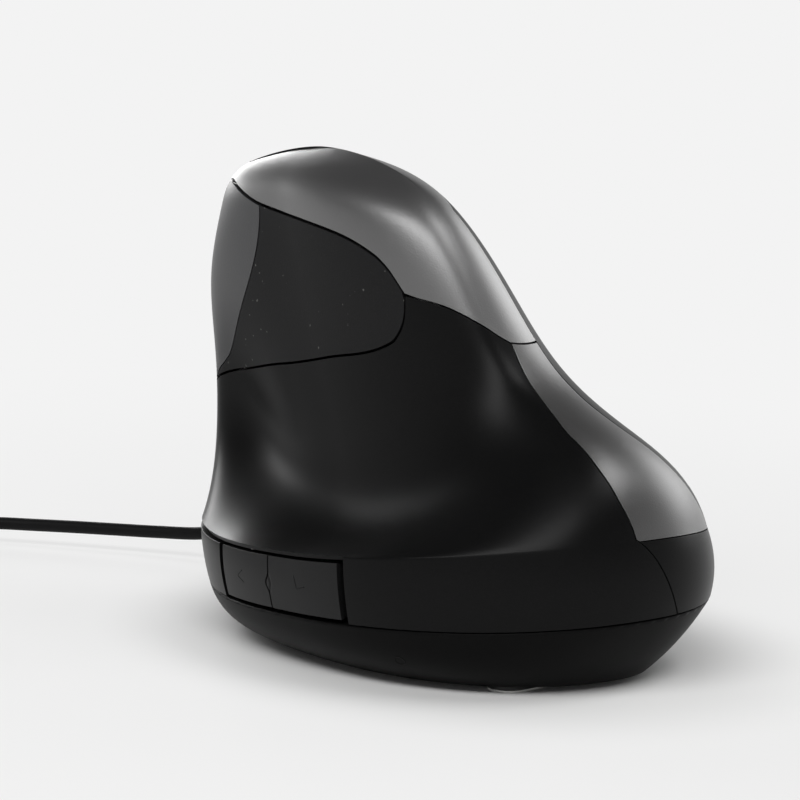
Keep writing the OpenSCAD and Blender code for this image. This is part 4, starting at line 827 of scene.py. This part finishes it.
wheel_tyre = solid("wheel_tyre_ribbed", [turned([
    (-WHEEL_W / 2, bead), (-WHEEL_W / 2, 10), (-2.7, 10.35), (-2.3, 10.55), (0, 10.65), (2.3, 10.55), (2.7, 10.35),
    (WHEEL_W / 2, 10), (WHEEL_W / 2, bead)], 96, ring=True)], tyre_rubber)
tread.run(wheel_tyre, Ribs=WHEEL_RIBS, Radius=10.6 * MM, Rib=0.4 * MM, Width=4.8 * MM)
set_in(wheel_tyre, wheel_mid, (0, 1, 0), finger_z, finger_x)
fitted(wheel_tyre, "wheel_body", "tyre_rubber", "wheel_tyre")
dress(inner_part("hub_plastic", (0.05, 0.05, 0.052), (0.07, 0.07, 0.072), 0.35), "wheel_hub")

# Speed button: a small grey cap behind the wheel, with a dished top and a stem down to its
# switch.
SPEED_SPOT = (-22.5, WHEEL_SPOT[1])
SPEED_R, SPEED_UP, SPEED_CAP, STEM_R, STEM_END = 1.8, 0.7, 2.6, 0.9, 5.9
speed_plastic = moulded("speed_plastic", (0.06, 0.06, 0.062), 0.4, depth=0.008)
speed_low = SPEED_UP - SPEED_CAP
speed_button = solid("speed_button", [turned([
    (-STEM_END, 0), (-STEM_END, STEM_R), (speed_low, STEM_R), (speed_low, SPEED_R), (SPEED_UP - 0.3, SPEED_R),
    (SPEED_UP - 0.1, SPEED_R - 0.08), (SPEED_UP, SPEED_R - 0.28), (SPEED_UP - 0.04, SPEED_R - 0.55),
    (SPEED_UP - 0.16, 0.7), (SPEED_UP - 0.2, 0)], 48)], speed_plastic)
settle(speed_button)
stand_on(speed_button, SPEED_SPOT)
fitted(speed_button, "dpi_body", "dpi_plastic", "dpi_button")

# Thumb shell: the concave thumb wall with its ledge and the skirt toward the tail, one black
# moulding with a fine grain. At the front it thins to a lip over the thumb buttons.
LEDGE_EDGE = 0.55
LIP_END, LIP_V, LIP_T = 196.5, 1.03, 0.6
BAND_A, PARTING = (118, 127), 174


def smooth_line(table):
    """A smooth line through a table of (place, value) that never overshoots its points."""
    x, y = np.array(table, float).T
    width = np.diff(x)
    rate = np.diff(y) / width
    both = rate[:-1] * rate[1:]
    slope = np.concatenate([rate[:1], np.where(both > 0, 2 * both / np.where(both > 0, rate[:-1] + rate[1:], 1), 0),
                            rate[-1:]])

    def at(place):
        place = np.clip(place, x[0], x[-1])
        k = np.clip(np.searchsorted(x, place, "right") - 1, 0, len(x) - 2)
        t = (place - x[k]) / width[k]
        return ((1 + 2 * t) * (1 - t) ** 2 * y[k] + t * (1 - t) ** 2 * width[k] * slope[k]
                + t * t * (3 - 2 * t) * y[k + 1] + t * t * (t - 1) * width[k] * slope[k + 1])
    return at


# Seams of the skin. The thumb shell and the top cover share one seam, from the tip of the panel
# to the corner of the lid at the palm cover.
TIP, LID_CORNER = 226.5, (276.5, 1.512)
tip_seam = smooth_line([(TIP, 1.65), (243, 1.625), (262, 1.567), LID_CORNER])
under_panel = smooth_line([(117, 1.3), (137, 1.4), (161, 1.485), (186, 1.527), (205, 1.54), (215, 1.555),
                           (219, 1.572), (223, 1.6), (TIP, 1.65)])
palm_left = smooth_line([(0, 279), (0.75, 270), (1, 265), (1.06, 261.5), (1.13, 259.5), (1.2, 259.5), (1.28, 263),
                         (1.37, 269), LID_CORNER[::-1]])


def thumb_top(a):
    return np.where(a <= TIP, under_panel(a), tip_seam(a))


def blend(a, b, t):
    return a + (b - a) * t


def spread(marks, step):
    """Values through all the marks, about a step apart."""
    runs = [np.linspace(low, high, max(1, round(abs(high - low) / step)) + 1)[:-1]
            for low, high in zip(marks, marks[1:])]
    return np.concatenate(runs + [marks[-1:]])


def centres(grid):
    return (grid[1:, 1:] + grid[:-1, :-1]) / 2


def trimmed(a, v, left=HALF_GAP, right=HALF_GAP, low=HALF_GAP, high=HALF_GAP, power=8):
    """Draws the rim of a grid in by the gaps at its sides; a high power leaves the inside alone."""
    u, w = np.linspace(0, 1, a.shape[1])[None, :], np.linspace(0, 1, a.shape[0])[:, None]
    wide = np.maximum(np.linalg.norm(across(a, v), axis=-1), 0.05)
    tall = np.linalg.norm(along(a, v), axis=-1)
    return (a + (left * (1 - u) ** power - right * u ** power) / wide,
            v + (low * (1 - w) ** power - high * w ** power) / tall)


def skin(a, v, edge):
    """The skin with the corner of the ledge rounded over an edge width."""
    plain = bare_skin(a, v)
    one, edge = np.ones_like(a), np.maximum(edge, 1e-6)
    down = edge * 0.01 / np.linalg.norm(bare_skin(a, one) - bare_skin(a, one - 0.01), axis=-1)
    up = edge * 0.01 / np.linalg.norm(bare_skin(a, one + 0.01) - bare_skin(a, one), axis=-1)
    s = np.where(v < 1, 0.5 + (v - 1) / (2 * down), 0.5 + (v - 1) / (2 * up))
    t = np.clip(s, 0, 1)[..., None]
    curve = ((1 - t) ** 2 * bare_skin(a, 1 - down) + 2 * t * (1 - t) * bare_skin(a, one)
             + t * t * bare_skin(a, 1 + up))
    return np.where(((s > 0) & (s < 1))[..., None], curve, plain)


def panel(name, a, v, material, body, slot, *nodes, keep=None, edge=LEDGE_EDGE, thin=None, lift=None, rim=0.2):
    """A moulded wall over a grid of angles and levels of the skin, with rounded rims."""
    points = skin(a, v, edge)
    if lift is not None:
        points = points + lift[..., None] * outward(a, np.minimum(v, 1.99))
    at = np.arange(a.size).reshape(a.shape)
    quads = np.stack([at[:-1, :-1], at[:-1, 1:], at[1:, 1:], at[1:, :-1]], -1)
    quads = quads.reshape(-1, 4) if keep is None else quads[keep]
    used, quads = np.unique(quads, return_inverse=True)
    piece = solid(name, [(points.reshape(-1, 3)[used], quads.reshape(-1, 4).tolist())], material)
    shell = piece.modifiers.new("wall", "SOLIDIFY")
    shell.thickness = SHELL_T * MM
    shell.offset = -1
    if thin is not None:
        group = piece.vertex_groups.new(name="wall")
        for index, share in enumerate(thin.reshape(-1)[used].tolist()):
            group.add([index], share, "REPLACE")
        shell.vertex_group = "wall"
    rounded(piece, rim)
    settle(piece, 0)
    return fitted(piece, body, slot, *nodes)


shell_plastic = moulded("shell_plastic", (0.0035, 0.0035, 0.0036), 0.34, gloss=0.1)
shell_levels = np.concatenate([spread([0, 0.9], 0.08), spread([0.9, 0.94, 1, LIP_V], 0.01)[1:]])
above = np.linspace(0, 1, 52)[1:]
shell_rows = [(v, None) for v in shell_levels] + [(None, b) for b in above]
shell_cols = spread([BAND_A[0], 150, PARTING, LIP_END, 205, 215, TIP], 1.0)
beyond = np.linspace(0, 1, 46)[1:]
row_top = thumb_top(np.concatenate([shell_cols, blend(TIP, LID_CORNER[0], beyond)]))
shell_a, shell_v = [], []
for v, b in shell_rows:
    seam_end = palm_left(v if b is None else blend(LIP_V, LID_CORNER[1], b))
    row_a = np.concatenate([shell_cols, blend(TIP, seam_end, beyond)])
    shell_a.append(row_a)
    shell_v.append(np.full_like(row_a, v) if b is None else blend(LIP_V, row_top, b))
shell_a, shell_v = trimmed(np.array(shell_a), np.array(shell_v), left=SEAM)
cell_a, cell_v = centres(shell_a), centres(shell_v)
lip = (shell_a < LIP_END + 0.3) & (shell_v < LIP_V + 0.001)
panel("thumb_wall", shell_a, shell_v, shell_plastic, "chassis", "shell_plastic", "thumb_shell",
      keep=(cell_v > 1) | (cell_a > LIP_END), edge=np.where(shell_a > LIP_END + 0.2, LEDGE_EDGE, 0),
      thin=np.where(lip, LIP_T / SHELL_T, 1.0))

# Finger shell: the far side wall, the nose and the front band under the thumb scoop, with
# openings for the buttons, the wheel and the cable gland.
LIP_LOW = 0.9
INDEX_A, MIDDLE_A, PORT_A, NOSE_A = (-38, 46), (-20, 46), (72, 81), 63
PORT_V, MIDDLE_V, STRIP_V, INDEX_V, BEZEL_V = (0.25, 0.75), (1.24, 1.48), (1.48, 1.61), (1.61, 1.83), 1.3
FAR_CORNER = (300, 1.48)
palm_right = smooth_line([(0, 308), (0.75, 311), (1, 306), (1.06, 300), (1.12, 295), (1.2, 292), (1.28, 293.5),
                          (1.36, 297), FAR_CORNER[::-1], (1.61, 301), (1.71, 302), (1.77, 303), (1.83, 304)])


def within(value, limits):
    return (value > limits[0]) & (value < limits[1])


finger_levels = np.concatenate([
    spread([0, *PORT_V, 0.9], 0.08), spread([0.94, 1, 1.06], 0.01),
    spread([1.08, MIDDLE_V[0], BEZEL_V, STRIP_V[0], 1.77, INDEX_V[1]], 0.018)])
finger_cols = spread([INDEX_A[0], *MIDDLE_A, NOSE_A, *PORT_A, *BAND_A, 155], 1.2)
wrap = np.linspace(0, 1, 16)[:-1]
finger_a = np.array([np.concatenate([blend(palm_right(v) - 360, INDEX_A[0], wrap), finger_cols])
                     for v in finger_levels])
finger_v = np.repeat(finger_levels[:, None], finger_a.shape[1], 1)
cell_a, cell_v = centres(finger_a), centres(finger_v)
finger_keep = ~((within(cell_a, MIDDLE_A) & (cell_v > MIDDLE_V[0]))
                | (within(cell_a, INDEX_A) & (cell_v > STRIP_V[0]))
                | ((cell_a > NOSE_A) & (cell_v > BEZEL_V)) | ((cell_a > BAND_A[0]) & (cell_v > 1))
                | (within(cell_a, PORT_A) & within(cell_v, PORT_V)))
band_top = np.interp(finger_a, BAND_A, (1, LIP_LOW))
finger_v = np.where((finger_a > BAND_A[0]) & (finger_v <= 1), finger_v * band_top, finger_v)
finger_a, finger_v = trimmed(finger_a, finger_v)
panel("finger_wall", finger_a, finger_v, shell_plastic, "chassis", "shell_plastic", "finger_shell", keep=finger_keep,
      edge=np.where(finger_a < BAND_A[0] - 1, LEDGE_EDGE, 0))

# Palm cover: the grained panel at the tail where the heel of the hand rests, clipped
# between the thumb shell and the finger shell. Its top, the palm rest, gets a lighter colour than the
# black end of the skirt below it, though both are one moulding: the lighter colour is a painted
# reflection of the lamps on the upward-facing top.
LACQUER = {"Coat IOR": 1.8, "Coat Roughness": 0.42}
# Lighter than the black shell plastic: this colour is a painted reflection of the lamps on the top of the palm cover.
palm_plastic = moulded("palm_plastic", (0.015, 0.0145, 0.0145), 0.4, grain=0.26, depth=0.03, gloss=1.0,
                       **{"Coat Weight": 0.5, **LACQUER})
PALM_FOOT, FOOT_GAP = 0.97, 0.08
tail_levels = [(v, v) for v in np.concatenate([spread([0, 0.9], 0.08), spread([0.9, PALM_FOOT], 0.01)[1:]])]
palm_levels = [(v, v) for v in spread([PALM_FOOT, 1.0], 0.005)]
palm_levels += [(blend(1, LID_CORNER[1], b), blend(1, FAR_CORNER[1], b)) for b in np.linspace(0, 1, 40)[1:]]
palm_u = np.linspace(0, 1, 40)
# The palm rest takes the lighter colour, a painted reflection; the palm skirt keeps the black shell plastic.
for name, levels, material, nodes in (("palm_rest", palm_levels, palm_plastic, ["palm_cover"]),
                                      ("palm_skirt", tail_levels, shell_plastic, [])):
    palm_a = np.array([blend(palm_left(left), palm_right(right), palm_u) for left, right in levels])
    palm_v = np.array([blend(left, right, palm_u) for left, right in levels])
    gaps = {"low" if nodes else "high": FOOT_GAP}
    panel(name, *trimmed(palm_a, palm_v, **gaps), material, "chassis", "palm_plastic", *nodes)

# Thumb panel: the D-shaped matte black field above the thumb wall, a thin moulding set flush
# in its frame.
cover_seam = smooth_line([(62, 1.83), (80, 1.88), (90, 1.89), (125, 1.89), (162, 1.803), (186, 1.777), (205, 1.757),
                          (217, 1.728), (222, 1.7), (TIP, 1.65)])
tail_seam = smooth_line([LID_CORNER, (288, 1.496), FAR_CORNER])
palm_seam_v = np.linspace(FAR_CORNER[1], INDEX_V[1], 120)


def cover_low(a):
    """Lower edge of the top cover."""
    return np.select([a <= TIP, a <= LID_CORNER[0], a <= FAR_CORNER[0]], [cover_seam(a), tip_seam(a), tail_seam(a)],
                     np.interp(a, palm_right(palm_seam_v), palm_seam_v))


def panel_edge(b):
    """Front edge of the panel, with a small hook at its foot."""
    return 129 + 32 * (1 - (1 - b) ** 2) - 8 * np.exp(-(b / 0.045) ** 2)


panel_plastic = moulded("panel_plastic", (0.009, 0.009, 0.0093), 0.55, grain=0.3, depth=0.016, gloss=0.14, dust=0.4)
panel_rows = np.concatenate([[0, 0.015, 0.03, 0.05, 0.075, 0.1], np.linspace(0.13, 1, 40)])
panel_cols = spread([186, 205, 215, 225.6], 0.8)
front_share = np.linspace(0, 1, 46)[:-1]
panel_a = np.array([np.concatenate([blend(panel_edge(b), 186, front_share), panel_cols]) for b in panel_rows])
panel_v = blend(thumb_top(panel_a), cover_low(panel_a), panel_rows[:, None])
panel("thumb_field", *trimmed(panel_a, panel_v, low=SEAM, power=2), panel_plastic, "chassis", "panel_plastic",
      "thumb_panel")

# Nose bezel: the charcoal strip down the front edge, from the top cover to the front band.
cap_plastic = moulded("cap_plastic", (0.028, 0.028, 0.03), 0.42, grain=0.3, depth=0.03, gloss=0.7)
bezel_share = np.linspace(0, 1, 60)
bezel_a = np.array([blend(NOSE_A, panel_edge(b), bezel_share) for b in panel_rows])
bezel_v = blend(thumb_top(bezel_a), cover_low(bezel_a), panel_rows[:, None])
panel("nose_strip", *trimmed(bezel_a, bezel_v, left=SEAM, low=SEAM), cap_plastic, "chassis", "cap_plastic",
      "nose_bezel")

# Top cover: the slanted charcoal lid of the crest, strongly grained, and behind its ridge the
# black back of the crest, which stands proud by a hair and so draws a dark line along the top.
lid_lacquer = moulded("lid_lacquer", (0.024, 0.0235, 0.024), 0.42, grain=0.3, depth=0.04, gloss=1.0,
                      **{"Coat Weight": 1.0, **LACQUER})
LID_MARKS = [108, 117, 125, 134, 143, 152, 162, 170, 178, 186, 194, 200, 205, 210, 215, 219, 223, 226.5, 236.5, 246.5,
             256.5, 266.5, 276.5, 284.5, 292.5, 300, 301, 302, 303, 304, 308, 312, 316, 319.5, 322.5, 325.5]
BACK_MARKS = [325.5, 332, 340, 350, 361, 373, 386, 399, 411, 423, 433, 444, 456, 468]
RIDGE_FROM, RIDGE_STEP, RIDGE_END, LID_SINK = 90, 7.5, 187.5, 0.3
CAP_FINE, CAP_ROWS = 4, 44
cap_rise = np.linspace(0, 1, CAP_ROWS)[:, None]
ridge_thin = 0.8 * cap_rise ** 3


def crest_grid(marks, ridge_from):
    """Grid from the lower edge of the crest, through the marks, up to its part of the ridge."""
    step = np.arange((len(marks) - 1) * CAP_FINE + 1) / CAP_FINE
    low_a = np.interp(step, np.arange(len(marks)), marks)
    low_v = cover_low(np.where(low_a > 360, np.maximum(low_a - 360, 62), low_a))
    gap = np.interp(low_a, (222, 232), (HALF_GAP + 0.35, HALF_GAP + 0.05))
    low_v = low_v + gap / np.linalg.norm(along(low_a, low_v), axis=-1)
    return blend(low_a, ridge_from + RIDGE_STEP * step, cap_rise), blend(low_v, 2.0, cap_rise)


lid_a, lid_v = crest_grid(LID_MARKS, RIDGE_FROM)
lid_end = np.linspace(0, 1, lid_a.shape[1])
at_ridge = np.clip((RIDGE_END - lid_a[-1]) / 20, 0, 1)
ridge = cap_rise ** 8 * at_ridge
lid_v = lid_v - SEAM * ridge / np.linalg.norm(along(lid_a, lid_v), axis=-1)
lid_wide = np.maximum(np.linalg.norm(across(lid_a, lid_v), axis=-1), 0.05)
lid_a = lid_a + SEAM * (1 - cap_rise ** 8) * ((1 - lid_end) ** 24 - lid_end ** 24) / lid_wide
panel("crest_cover", lid_a, lid_v, lid_lacquer, "chassis", "cap_plastic", "top_cover", edge=0,
      thin=1 - ridge_thin * at_ridge, lift=-LID_SINK * ridge)
back_a, back_v = crest_grid(BACK_MARKS, RIDGE_FROM + RIDGE_STEP * (len(LID_MARKS) - 1))
panel("crest_back", back_a, back_v, shell_plastic, "chassis", "shell_plastic", edge=0,
      thin=1 - ridge_thin * np.ones_like(back_a))

# Wheel strip: the charcoal bar between the two click buttons, with a long round-ended slot for
# the wheel and a round window for the speed button.
SLOT_A, SLOT_V, SLOT_LEAN, LEAN_FROM, LEAN_RIM = (-1, 41), (1.5, 1.59), 0.0004, 20, 0.02
WINDOW_R, STRIP_MID = 2.35, 10
strip_cols = spread([INDEX_A[0], -29.5, -15.5, *SLOT_A, INDEX_A[1]], 0.7)
strip_rows = spread([STRIP_V[0], SLOT_V[0], WHEEL_SPOT[1], SLOT_V[1], STRIP_V[1]], 0.006)
strip_a, strip_v = np.meshgrid(strip_cols, strip_rows)


def scale_at(a, v):
    """Millimetres per degree and per level at a place of the skin."""
    a, v = np.array(a, float), np.array(v, float)
    return np.linalg.norm(across(a, v)), np.linalg.norm(along(a, v))


wide, tall = scale_at(STRIP_MID, WHEEL_SPOT[1])


def round_window(a, v, mid_a, mid_v, half, reach, side=0):
    """Draws the square rings round a window into circles; side limits it to one end of a slot."""
    x, y = (a - mid_a) * wide, (v - mid_v) * tall
    square, far = np.maximum(np.abs(x), np.abs(y)), np.maximum(np.hypot(x, y), 1e-9)
    share = np.clip((half + reach - square) / reach, 0, 1) * (square > 1e-6) * ((side == 0) | (x * side > 0))
    pull = blend(1, square / far, share)
    return mid_a + x * pull / wide, mid_v + y * pull / tall


slot_half = (SLOT_V[1] - SLOT_V[0]) / 2 * tall
cell_a, cell_v = centres(strip_a), centres(strip_v)
strip_keep = ~((within(cell_a, SLOT_A) & within(cell_v, SLOT_V))
               | ((np.abs(cell_a - SPEED_SPOT[0]) * wide < WINDOW_R)
                  & (np.abs(cell_v - SPEED_SPOT[1]) * tall < WINDOW_R)))
strip_a, strip_v = round_window(strip_a, strip_v, *SPEED_SPOT, WINDOW_R, 1.6)
for end, side in zip(SLOT_A, (-1, 1)):
    strip_a, strip_v = round_window(strip_a, strip_v, end - side * slot_half / wide, WHEEL_SPOT[1], slot_half, 1.1,
                                    side)
from_rim = np.clip(np.minimum(strip_v - STRIP_V[0], STRIP_V[1] - strip_v) / LEAN_RIM, 0, 1)
strip_v = strip_v - SLOT_LEAN * from_rim * np.maximum(0, strip_a - LEAN_FROM)
panel("wheel_bar", *trimmed(strip_a, strip_v, left=SEAM, right=SEAM), cap_plastic, "chassis", "cap_plastic",
      "wheel_strip", keep=strip_keep)

# Click buttons: two satin black caps for the index and the middle finger, staked onto their
# levers, with rounded corners.
BUTTON_GAP, BUTTON_GAP_TOP, BUTTON_GAP_FRONT = 0.4, 0.75, 0.9


def round_corners(a, v, radius):
    """Draws the corners of a grid into arcs of a radius."""
    mid = (a.min() + a.max()) / 2, (v.min() + v.max()) / 2
    wide, tall = scale_at(*mid)
    x, y = (a - mid[0]) * wide, (v - mid[1]) * tall
    flat_x, flat_y = np.abs(x).max() - radius, np.abs(y).max() - radius
    s, t = np.maximum(np.abs(x) - flat_x, 0) / radius, np.maximum(np.abs(y) - flat_y, 0) / radius
    corner = (s > 0) & (t > 0)
    new_s, new_t = s * np.sqrt(1 - t * t / 2), t * np.sqrt(1 - s * s / 2)
    x = np.where(corner, np.sign(x) * (flat_x + radius * new_s), x)
    y = np.where(corner, np.sign(y) * (flat_y + radius * new_t), y)
    return mid[0] + x / wide, mid[1] + y / tall


button_plastic = moulded("button_plastic", (0.02, 0.02, 0.0205), 0.4, grain=0.22, depth=0.016)
for name, ends, levels, high, body, node in (
        ("index_button", INDEX_A, INDEX_V, BUTTON_GAP_TOP, "left_click_body", "left_button"),
        ("middle_button", MIDDLE_A, MIDDLE_V, BUTTON_GAP, "right_click_body", "right_button")):
    grid = np.meshgrid(spread(ends, 1.0), spread(levels, 0.011))
    grid = trimmed(*grid, left=BUTTON_GAP, right=BUTTON_GAP_FRONT, low=BUTTON_GAP, high=high)
    panel(name, *round_corners(*grid, 1.6), button_plastic, body, "button_plastic", node, rim=0.3)

# Thumb buttons: two satin black caps under the ledge. The rear one carries a small oval nub
# that reaches into the front one, and each has a faint chevron for its direction.
BUTTON_V = (0.03, LIP_LOW)
NUB_V, NUB_OUT = (0.29, 0.65), 0.95
thumb_plastic = moulded("thumb_plastic", (0.008, 0.008, 0.0082), 0.42, grain=0.2, depth=0.012, gloss=0.16)


def nub(v):
    """Share of the nub's reach at a level."""
    t = np.clip((v - NUB_V[0]) / (NUB_V[1] - NUB_V[0]), 0, 1)
    return np.sin(math.pi * t) ** 2


DENT_IN, DENT_DEEP, DENT_W, MM_PER_DEGREE = 1.5, 0.16, 0.1, 0.63
thumb_rows = spread(BUTTON_V, 0.02)
front_cols = np.concatenate([spread([156, 172], 0.6)[:-1], spread([172, PARTING], 0.12)])
rear_cols = np.concatenate([spread([PARTING, 176.4], 0.12)[:-1], spread([176.4, 194.8], 0.6)])
for name, cols, gaps, dented, body, node in (
        ("front_thumb_button", front_cols, {"left": BUTTON_GAP, "right": BUTTON_GAP / 2}, False, "forward_body",
         "forward_button"),
        ("rear_thumb_button", rear_cols, {"left": BUTTON_GAP / 2, "right": 0}, True, "back_body", "back_button")):
    grid_a, grid_v = trimmed(*np.meshgrid(cols, thumb_rows), low=BUTTON_GAP, high=0, **gaps)
    near = np.clip(1 - np.abs(grid_a - PARTING) / 4, 0, 1)
    grid_a = grid_a - NUB_OUT * nub(grid_v) * near
    lift = None
    if dented:
        from_line = (grid_a - PARTING + NUB_OUT * nub(grid_v) - DENT_IN * nub(grid_v)) * MM_PER_DEGREE
        lift = -DENT_DEEP * bell(from_line, 0, DENT_W) * np.minimum(1, 3 * nub(grid_v))
    panel(name, grid_a, grid_v, thumb_plastic, body, "thumb_button_plastic", node, lift=lift, rim=0.16)

mark_gloss = moulded("mark_gloss", (0.002, 0.002, 0.002), 0.4, depth=0.004, gloss=0.08)
for name, strokes, body in (
        ("front_chevron", [(164.6, 0.58), (162.6, 0.48), (164.8, 0.39)], "forward_body"),
        ("rear_chevron", [(182.2, 0.66), (182.9, 0.46), (185.4, 0.51)], "back_body")):
    line = np.concatenate([blend(np.array(p), np.array(q), np.linspace(0, 1, 10)[:, None])
                           for p, q in zip(strokes, strokes[1:])])
    spots = bare_skin(line[:, 0], line[:, 1])
    normals = outward(line[:, 0], line[:, 1])
    ways = np.gradient(spots, axis=0)
    sides = np.cross(normals, ways)
    sides /= np.linalg.norm(sides, axis=-1, keepdims=True)
    ring = [(-0.1, -0.1), (0.1, -0.1), (0.09, 0.015), (0, 0.035), (-0.09, 0.015)]
    points = [spots[i] + sides[i] * x + normals[i] * z for i in range(len(line)) for x, z in ring]
    faces = [[i * 5 + k, i * 5 + (k + 1) % 5, i * 5 + 5 + (k + 1) % 5, i * 5 + 5 + k]
             for i in range(len(line) - 1) for k in range(5)]
    mark = solid(name, [(points, faces + [[4, 3, 2, 1, 0], [len(points) - 5 + k for k in range(5)]])], mark_gloss)
    shape = bmesh.new()
    shape.from_mesh(mark.data)
    bmesh.ops.recalc_face_normals(shape, faces=shape.faces)
    shape.to_mesh(mark.data)
    shape.free()
    fitted(mark, body, "thumb_button_plastic")

# Desk and studio: a wide white desk that glows to an even white away from the mouse, a long
# softbox above the thumb side, others for the tail, the palm and the edges, and a pale horizon.
DESK, FOOTPRINT, WHITE = 6, (0.036, 0.05), 0.896
desk_mesh = bpy.data.meshes.new("desk")
desk_mesh.from_pydata([(-DESK, -DESK, 0), (DESK, -DESK, 0), (DESK, DESK, 0), (-DESK, DESK, 0)], [], [[0, 1, 2, 3]])
desk = bpy.data.objects.new("desk", desk_mesh)
bpy.context.collection.objects.link(desk)
paper = Finish("desk_paper", {"Roughness": 0.7, "Specular IOR Level": 0.2})
paper.feed({"Base Color": paper.shades(paper.noise(40, 3), (0.77, 0.77, 0.765), (0.8, 0.8, 0.795))})
path = paper.tree.nodes.new("ShaderNodeLightPath")
seen = sum((Wire(paper, path.outputs[name]) for name in ("Is Glossy Ray", "Is Transmission Ray")),
           Wire(paper, path.outputs["Is Camera Ray"]))
scaled = paper.node("ShaderNodeVectorMath", {"operation": "MULTIPLY"}, {
    0: paper.place, 1: (1 / FOOTPRINT[0], 1 / FOOTPRINT[1], 0)})
away = paper.node("ShaderNodeVectorMath", {"operation": "LENGTH"}, {0: scaled}, "Value")
far = 0.7 * paper.step(away, 0.92, 1.6) + 0.3 * paper.step(away, 1.6, 7)
glow = paper.node("ShaderNodeEmission", sockets={"Color": (WHITE, WHITE, WHITE, 1)})
mixed = paper.node("ShaderNodeMixShader", sockets={0: far * seen, 1: Wire(paper, paper.shader.outputs[0]), 2: glow})
paper.tree.links.new(mixed.socket, paper.tree.nodes["Material Output"].inputs[0])
desk_mesh.materials.append(paper.material)


def softbox(name, toward, distance, width, depth, power, aim=(-5, 0, 45)):
    light = bpy.data.lights.new(name, "AREA")
    light.shape = "RECTANGLE"
    light.size, light.size_y, light.energy = width, depth, power
    lamp = bpy.data.objects.new(name, light)
    lamp.location = Vector(aim) * MM + Vector(toward).normalized() * distance
    lamp.rotation_euler = Vector(toward).to_track_quat("Z", "Y").to_euler()
    bpy.context.collection.objects.link(lamp)


softbox("key", (-0.55, -0.36, 0.74), 0.8, 0.95, 0.24, 5.4)
softbox("fill", (0.38, -0.4, 0.83), 1.0, 0.5, 0.4, 3.0)
softbox("palm", (0.96, 0.04, 0.3), 0.9, 0.6, 0.4, 2.0)
softbox("edge", (0.12, 0.95, 0.25), 0.9, 0.8, 0.2, 3.4)
world = bpy.data.worlds.new("studio")
world.use_nodes = True
sky = Nodes(world.node_tree)
height = sky.node("ShaderNodeSeparateXYZ", sockets={0: sky.node("ShaderNodeTexCoord", out="Generated")}, out="Z")
pale = sky.shades(sky.step(height, 0.2, 0.42), (0.6, 0.6, 0.6), (0.05, 0.05, 0.05))
sky.tree.links.new(pale.socket, sky.tree.nodes["Background"].inputs[0])
bpy.context.scene.world = world
